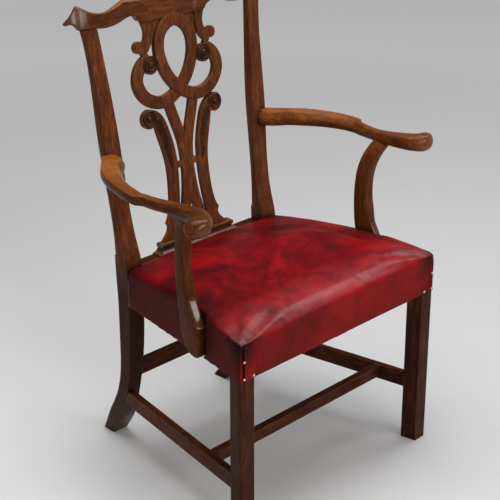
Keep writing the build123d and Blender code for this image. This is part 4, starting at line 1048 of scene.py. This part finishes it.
# Crest rail: a bowed board with rolled ears, a sunk panel and a bead round it
CREST_JOINT = 947.0
CREST_FRONT_Y = 210.55
CREST_THICK = 24.0
CREST_ROWS = 26
CREST_LOW = [
    (0, -11), (30, -11), (60, -11), (86, -9), (97, 2), (115, 9), (131, 7), (148, 2), (165, -1.5), (182, -2.9),
    (198, -2), (213, 0), (230, 0), (247, 0), (255, 8), (264, 14), (270, 13.4), (274.5, 12.2), (276.6, 14.5),
]
CREST_HIGH = [
    (0, 65), (30, 64), (60, 61), (92, 55), (106, 52), (120, 47.6), (139, 40.5), (158, 34), (174, 30.5), (190, 29),
    (206, 30.4), (222, 35), (232, 39.5), (240, 44.6), (246, 48), (252.6, 50), (258, 42), (264.5, 32), (271, 24),
]
PANEL_EDGE = [
    (58, -14), (60, 0), (63.5, 11), (70, 24), (79, 33), (92, 39), (105, 40.6), (118, 41), (130, 43), (142, 46),
    (160, 52),
]


def panel_side(x, h):
    """Distance to the panel's edge, positive inside the panel."""
    best, sign = 1e9, 1.0
    for (x0, h0), (x1, h1) in zip(PANEL_EDGE, PANEL_EDGE[1:]):
        run_x, run_h = x1 - x0, h1 - h0
        share = limited(((x - x0) * run_x + (h - h0) * run_h) / (run_x ** 2 + run_h ** 2))
        away = math.hypot(x - x0 - run_x * share, h - h0 - run_h * share)
        if away < best:
            best, sign = away, math.copysign(1.0, run_x * (h - h0) - run_h * (x - x0))
    return best * sign


def crest_bend(x):
    """How far the board bows, and its ears roll back, behind the joint with the stiles."""
    bow = 13.0 * (1.0 - (x / 230.0) ** 2) if x < 230 else 0.0
    roll = 24.0 * ((x - 224.0) / 57.0) ** 1.7 if x > 224 else 0.0
    return CREST_FRONT_Y + bow + roll


def hump(value, middle, width):
    return math.exp(-(((value - middle) / width) ** 2))


def crest_front(x, h):
    inside = panel_side(x, h)
    band = 2.4 * limited((0.6 - inside) / 2.0) * limited((205.0 - x) / 60.0)
    bead = (1.5 * hump(inside, -3.4, 2.2) - hump(inside, -7.2, 1.7)) * limited((190.0 - x) / 40.0)
    over_joint = 0.9 * limited(-h / 11.0) - 0.35 if x < 90 else 0.0
    scoop = 2.2 * hump(x, 246.0, 11.0)
    return crest_bend(x) + SPLAT_LEAN * h - band - bead + over_joint + scoop


def crest_column(low, high):
    """Points up the front of the board and down its back, between its lower and upper line."""
    (x0, h0), (x1, h1) = low, high
    rows = CREST_ROWS
    thick = CREST_THICK if x0 < 232 else max(8.0, CREST_THICK - 0.42 * (x0 - 232))
    front, rear = [], []
    for row in range(rows + 1):
        share = row / rows
        x, h = x0 + (x1 - x0) * share, h0 + (h1 - h0) * share
        ease_in = 2.2 * max(0.0, 1 - row / 1.5) + 3.4 * max(0.0, (row - rows + 2.5) / 2.5) ** 2
        front.append((x, crest_front(x, h) + ease_in, h))
        lower = 7.5 * max(0.0, (share - 0.6) / 0.4) ** 2 if x0 < 250 else 2.0 * share
        ease_out = 1.6 * max(0.0, 1 - row / 1.5)
        y = crest_bend(x) + SPLAT_LEAN * h + thick - ease_out - 5.0 * max(0.0, (share - 0.7) / 0.3) ** 2
        rear.append((x, y, h - lower))
    return front + rear[::-1]


def make_crest():
    half = [crest_column(low, high) for low, high in zip(eased(CREST_LOW, 8), eased(CREST_HIGH, 8))]
    columns = [[(-x, y, h) for x, y, h in column] for column in reversed(half[1:])] + half
    size = len(columns[0])
    points = [(x, y, CREST_JOINT + h) for column in columns for x, y, h in column]
    faces = rows_to_faces(len(columns), size, True)
    for end in (0, len(columns) - 1):
        for row in range(CREST_ROWS):
            faces.append([end * size + i for i in (row, row + 1, size - 2 - row, size - 1 - row)])
    piece = new_piece("carved_crest", points, faces, crest_mahogany, "back_mahogany")
    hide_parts("crest_rail")


make_crest()

# Webbing and hessian under the seat, stretched from rail to rail
WEB_WIDTH = 50.0
WEB_THICK = 1.3
WEB_STEPS = 40
WEB_SECTION = [(-1, -0.5), (-1, 0.5), (0, 0.62), (1, 0.5), (1, -0.5), (0, -0.38)]


def web_strips(name, count, lengthwise):
    low, high = (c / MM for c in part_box(name))
    strips, area = [], 0.0
    base = (low.z if lengthwise else high.z - 1.6) + 0.8
    for strip in range(count):
        if lengthwise:
            middle = low.x + WEB_WIDTH / 2 + (high.x - low.x - WEB_WIDTH) * strip / (count - 1)
            start, end = low.y, high.y
        else:
            middle = low.y + WEB_WIDTH / 2 + (high.y - low.y - WEB_WIDTH) * strip / (count - 1)
            half = SEAT_FRONT_HALF - SIDE_SPLAY * (middle + WEB_WIDTH / 2 - SEAT_FRONT_Y) - 4.0
            start, end = -half, half
        points = []
        for row in range(WEB_STEPS + 1):
            along = start + (end - start) * row / WEB_STEPS
            edge_wave = 0.5 * math.sin(0.9 * row + strip)
            for across, up in WEB_SECTION:
                side_at = middle + across * (WEB_WIDTH / 2 + edge_wave * 0.4)
                z = base + up * WEB_THICK
                points.append((side_at, along, z) if lengthwise else (along, side_at, z))
        strips.append((points, tube_faces(WEB_STEPS + 1, len(WEB_SECTION))))
        area += WEB_WIDTH * (end - start)
    piece = new_piece(name + "_strips", *gather(*strips), webbing_weave, "webbing")
    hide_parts(name)


web_strips("webbing_lengthwise", 3, True)
web_strips("webbing_crosswise", 3, False)

HESSIAN_THICK = 0.8


def make_hessian_sheet():
    low, high = (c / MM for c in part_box("hessian"))
    rows, columns = 31, 41
    points = []
    for layer in (0.0, HESSIAN_THICK):
        for row in range(rows):
            y = low.y + (high.y - low.y) * row / (rows - 1)
            half = high.x - SIDE_SPLAY * (y - low.y)
            for step in range(columns):
                x = half * (2 * step / (columns - 1) - 1)
                dip = 0.12 * math.sin(x * 0.05) * math.sin(y * 0.06)
                points.append((x, y, low.z + 0.1 + layer + dip))
    per_layer = rows * columns
    lower = rows_to_faces(rows, columns)
    faces = lower + [[per_layer + i for i in face] for face in lower]
    rim = rim_of(rows, columns)
    for here, there in zip(rim, rim[1:] + rim[:1]):
        faces.append([here, there, per_layer + there, per_layer + here])
    piece = new_piece("hessian_sheet", points, faces, hessian_weave, "hessian")
    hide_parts("hessian")


make_hessian_sheet()


# Floor, light and camera
def shown_background(tree):
    """1 for what the camera sees, also by way of a reflection or through glass."""
    ray = add(tree, "LightPath").outputs
    return most(tree, ray["Is Camera Ray"], ray["Is Transmission Ray"], ray["Is Glossy Ray"])


def mix_shaders(tree, mask, first, second, end):
    mix = add(tree, "MixShader")
    for socket, value in zip(mix.inputs, (mask, first, second)):
        tree.links.new(value, socket)
    tree.links.new(mix.outputs["Shader"], tree.nodes[end].inputs["Surface"])


def pale_floor_finish():
    """Paler to the left as a painted pool of light, in its colour and in a glow, and fading out into the backdrop far
    from the chair.
    """
    finish, tree, shader, spot = new_finish("pale_floor")
    across = split(tree, spot)["X"]
    # Painted light: paler and glowing toward the left
    tint = blend(tree, remap(tree, across, 0.2, -0.8), (0.60, 0.60, 0.605), (0.81, 0.81, 0.815))
    dust = remap(tree, cloud(tree, spot, 3.0, 4.0, 0.6), 0.3, 0.7, 0.0, 0.05)
    painted_left_glow = times(tree, remap(tree, across, 0.15, -0.75, 0.0, 0.085), shown_background(tree))
    wire(tree, shader.inputs, Base_Color=blend(tree, dust, tint, (0.42, 0.42, 0.43)), Roughness=0.85,
         Specular_IOR_Level=0.15, Emission_Color=painted_left_glow, Emission_Strength=1.0)
    away = of_vectors(tree, "LENGTH", spot)
    clear = add(tree, "BsdfTransparent").outputs["BSDF"]
    mix_shaders(tree, remap(tree, away, 1.3, 3.6), shader.outputs["BSDF"], clear, "Material Output")
    return finish


def make_floor():
    rings, around, reach, level = 40, 96, 14.0, -0.0004
    points = []
    for ring in range(rings + 1):
        radius = 0.02 + reach * (ring / rings) ** 1.5
        points += [(radius * math.cos(angle), radius * math.sin(angle), level) for angle in turns(around)]
    mesh = bpy.data.meshes.new("floor")
    mesh.from_pydata(points, [], rows_to_faces(rings + 1, around, True) + [list(range(around))])
    floor = stand("floor", mesh)
    mesh.materials.append(pale_floor_finish())


def make_world():
    world = bpy.data.worlds.new("studio")
    world.use_nodes = True
    scene.world = world
    tree = world.node_tree
    light = tree.nodes["Background"]
    wire(tree, light.inputs, Color=(1.0, 0.99, 0.975), Strength=0.25)
    # Painted light: the backdrop is paler low down, and dark above the horizon
    upward = split(tree, add(tree, "TexCoord").outputs["Generated"])["Z"]
    lower = remap(tree, upward, -0.22, -0.36)
    pale = blend(tree, lower, (0.448, 0.443, 0.446), (0.64, 0.637, 0.64))
    seen = add(tree, "Background", Color=blend(tree, remap(tree, upward, 0.03, 0.2), pale, (0.09, 0.09, 0.092)))
    mix_shaders(tree, shown_background(tree), light.outputs["Background"], seen.outputs["Background"], "World Output")


def aim_at(made, at, target):
    made.location = at
    made.rotation_euler = (Vector(target) - made.location).to_track_quat("-Z", "Y").to_euler()


def make_lamp(name, at, target, size, power, tint=(1.0, 1.0, 1.0)):
    data = bpy.data.lights.new(name, "AREA")
    data.shape = "RECTANGLE"
    data.size, data.size_y = size
    data.energy = power
    data.color = tint
    aim_at(stand(name, data), at, target)


def make_camera():
    data = bpy.data.cameras.new("viewing_camera")
    data.sensor_width = 36.0
    data.lens = 93.38
    data.shift_x = -0.01205
    data.shift_y = -0.0609
    camera = stand("viewing_camera", data)
    aim_at(camera, (-1.8062, -1.80155, 1.5565), (0.0, -0.02445, 0.54299))
    scene.camera = camera


make_floor()
make_world()
make_lamp("ceiling_box", (-0.1, 0.1, 3.0), (0.0, 0.0, 0.5), (2.2, 2.2), 62.0)
make_lamp("right_box", (1.8, -0.3, 2.9), (0.0, 0.0, 0.45), (1.0, 1.8), 26.0)
make_lamp("front_window", (0.55, -3.3, 1.95), (0.0, 0.0, 0.5), (2.0, 1.3), 48.0, (1.0, 0.985, 0.965))
make_lamp("low_front_box", (-0.75, -3.2, 1.05), (0.0, 0.0, 0.8), (1.0, 0.6), 9.0)
make_camera()
